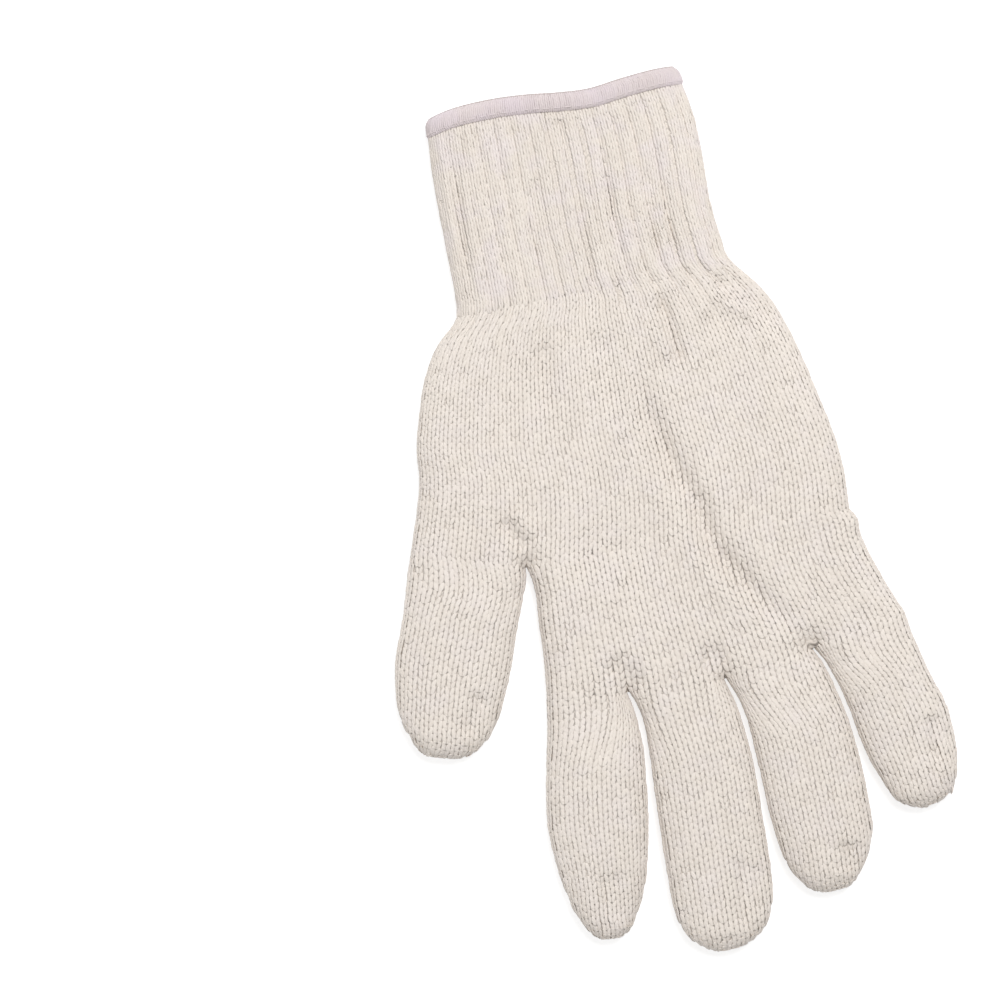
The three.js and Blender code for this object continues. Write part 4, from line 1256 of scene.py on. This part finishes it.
def finger_anchors(finger, wales):
    """Which wales of the palm run on into a finger."""
    if finger == "thumb":
        return (
            np.arange(SIDE_WALES, wales - CROTCH_WALES) + 0.5,
            [places[SIDE_WALES:THUMB_WALES - CROTCH_WALES] for places in five_palm.column_places(1.0)],
            FINGER_ANCHOR_REACH)
    number = list(FINGER_SIZES).index(finger) - 1
    left, right = knuckles[number][0] + CROTCH_ROOM, knuckles[number + 1][0] - CROTCH_ROOM
    if number == 0:
        left = palm_places[True][SIDE_WALES]
    if number == len(FINGER_SIZES) - 2:
        right = palm_places[True][-1 - SIDE_WALES]
    run_on = np.flatnonzero((palm_places[True] >= left) & (palm_places[True] <= right))
    if number == 0:
        first = run_on[0]
    elif number == len(FINGER_SIZES) - 2:
        first = wales - (four_palm.wales - run_on[0])
    else:
        first = (wales - len(run_on)) // 2
    return (
        np.arange(len(run_on)) + first + 0.5,
        [places[run_on] for places in palm_places],
        FINGER_ANCHOR_REACH)


for finger, wales in FINGER_WALES.items():
    _, length, height, _, _, _ = FINGER_SIZES[finger]
    tube = Tube(
        plans[finger], KNIT_WALL, wales,
        lambda down, height=height: mix(PALM_HEIGHT, height, float(ease(down / FINGER_RISE))),
        lambda down, half: mix(PALM_ROUND_ABOVE, half * FINGER_DOME, float(ease(down / DOME_RISE))),
        length=length, anchors=finger_anchors(finger, wales), narrow_after=NARROW_AFTER)
    knit(finger + "_knit", tube, even_courses(tube, KNIT_GAUGE[1]), KNIT_LEG, finger, closed=True)

# %% [markdown]
# ## The cuff
#
# The cuff has an elastic thread laid in behind it, which draws the same 48 wales close together, so the
# stitches are slim and upright, and both legs of a wale lie close like a rope. Every third wale sinks
# back, which makes the rib.

# %% Cuff
CUFF_GAUGE = (1.70, 2.06)
CUFF_LEG = {
    "Width": 1.04, "Length": 3.9, "Thickness": 0.46, "Slant": 6.5, "Spread": 0.405, "Fullness": 0.3,
    **COARSE}
CUFF_SLACK = 0.07
CUFF_COURSES = 26


def cuff_relief(across, up):
    """The ribs get shallow under the hem."""
    near_hem = float(ease((up - RIB_FADES_FROM) / (1 - RIB_FADES_FROM)))
    return ribs(across, 1 - RIB_LOST_AT_HEM * near_hem)


cuff_tube = Tube(
    cuff_plan, CUFF_WALL, PALM_WALES,
    lambda up: mix(PALM_HEIGHT, CUFF_HEIGHT, float(ease(up / CUFF_FALL))), relief=cuff_relief)
knit(
    "cuff_knit", cuff_tube, np.linspace(0, 1, CUFF_COURSES + 1), CUFF_LEG, "cuff",
    cuff_yarn, "cuff_yarn", CUFF_GAUGE, towards_hem=-1, slack=CUFF_SLACK)

# %% [markdown]
# ## The hem
#
# The cuff's edge is overlocked: soft threads are wrapped closely over it and lie side by side like
# satin, and where they lock they leave a fine line along the rim. That locking thread is painted
# darker, as painted shade along the rim. A wrap is a path up the outside, over the rim and down the
# inside. A row of small needle stitches holds the wraps at their lower edge. The knitting tree turns
# the paths into round threads.

# %% Hem
HEM_ROWS_FULL = ((0.00, 0.94), (0.25, 1.00), (0.75, 1.00), (1.00, 0.88))
HEM_WALES = 132
THREAD = 0.36
THREAD_SPREAD = 0.03
THREAD_VARIES = 0.05
HEM_SIZES = {"Thread sides": 6}
# up the hem, inset from the outside, and how far the thread drifts sideways in threads
WRAP = (
    (-0.02, 0.84, -0.94), (0.04, 0.54, -0.88), (0.12, 0.38, -0.76), (0.24, 0.30, -0.55),
    (0.42, 0.32, -0.25), (0.62, 0.32, 0.05), (0.82, 0.36, 0.30), (0.93, 0.55, 0.45),
    (0.985, 1.05, 0.55), (0.94, 1.55, 0.65), (0.75, 1.80, 0.75), (0.45, 1.85, 0.85),
    (0.15, 1.85, 0.95),
)


class HemTube(Tube):
    def full(self, down):
        return float(smooth(HEM_ROWS_FULL, 1, down))


# A thread's last value paints it darker, as painted shade.
def add_thread(lattice, path, thickness, shade, painted_darkening=0.0):
    first = lattice.add_points(path, thread=1, thickness=thickness * MM, shade=shade, hole=painted_darkening)
    lattice.edges.extend((first + step, first + step + 1) for step in range(len(path) - 1))


hem_tube = HemTube(hem_plan, HEM_WALL, HEM_WALES, lambda up: HEM_HEIGHT)
lattice = Lattice()
rings = np.array([hem_tube.ring(up, inset, 0.5 + drift * 0.5)[0] for up, inset, drift in WRAP])
for wrap in range(rings.shape[1]):
    path = rings[:, wrap] + rng.normal(0, THREAD_SPREAD, (len(WRAP), 3))
    add_thread(lattice, path, THREAD * (1 + rng.normal(0, THREAD_VARIES)), rng.random())

# the locking thread along the rim, and the needle thread under the wraps, as short stitches
# up the hem, inset from the outside
RIM_PLACE = (0.995, 0.50)
NEEDLE_PLACE = (0.13, 0.06)
RIM_THREAD = 0.26
# the rim thread's dark tone and its darkening are painted shade along the rim
RIM_SHADE = 0.9
RIM_PAINTED_SHADE = 0.4
RIM_SWAY = 0.12
NEEDLE_THREAD = 0.17
NEEDLE_SHADE = 0.3
NEEDLE_STITCH = 5
HEM_BACKING_ROWS = np.linspace(0, 0.95, 7)
HEM_BACKING_INSET = 0.62
HEM_INNER_INSET = 1.45
rim, _ = hem_tube.ring(*RIM_PLACE)
rim[:, 2] += np.where(np.arange(len(rim)) % 2 == 0, RIM_SWAY, -RIM_SWAY)
add_thread(lattice, np.concatenate([rim, rim[:1]]), RIM_THREAD, RIM_SHADE, RIM_PAINTED_SHADE)
needle, _ = hem_tube.ring(*NEEDLE_PLACE)
for start in range(0, len(needle), NEEDLE_STITCH):
    add_thread(lattice, needle[start:start + NEEDLE_STITCH - 1], NEEDLE_THREAD, NEEDLE_SHADE)
add_backing(
    lattice, hem_tube, HEM_BACKING_ROWS, closed=False,
    outer_inset=HEM_BACKING_INSET, inner_inset=HEM_INNER_INSET)
make_piece("hem_overlock", lattice, HEM_SIZES, hem_thread, ["hem"], behind=hem_backing)

# %% [markdown]
# ## The triangle count
#
# The triangles that the pieces add are counted up.

# %% Triangle count
print("triangles added:", sum(triangles_made.values()))
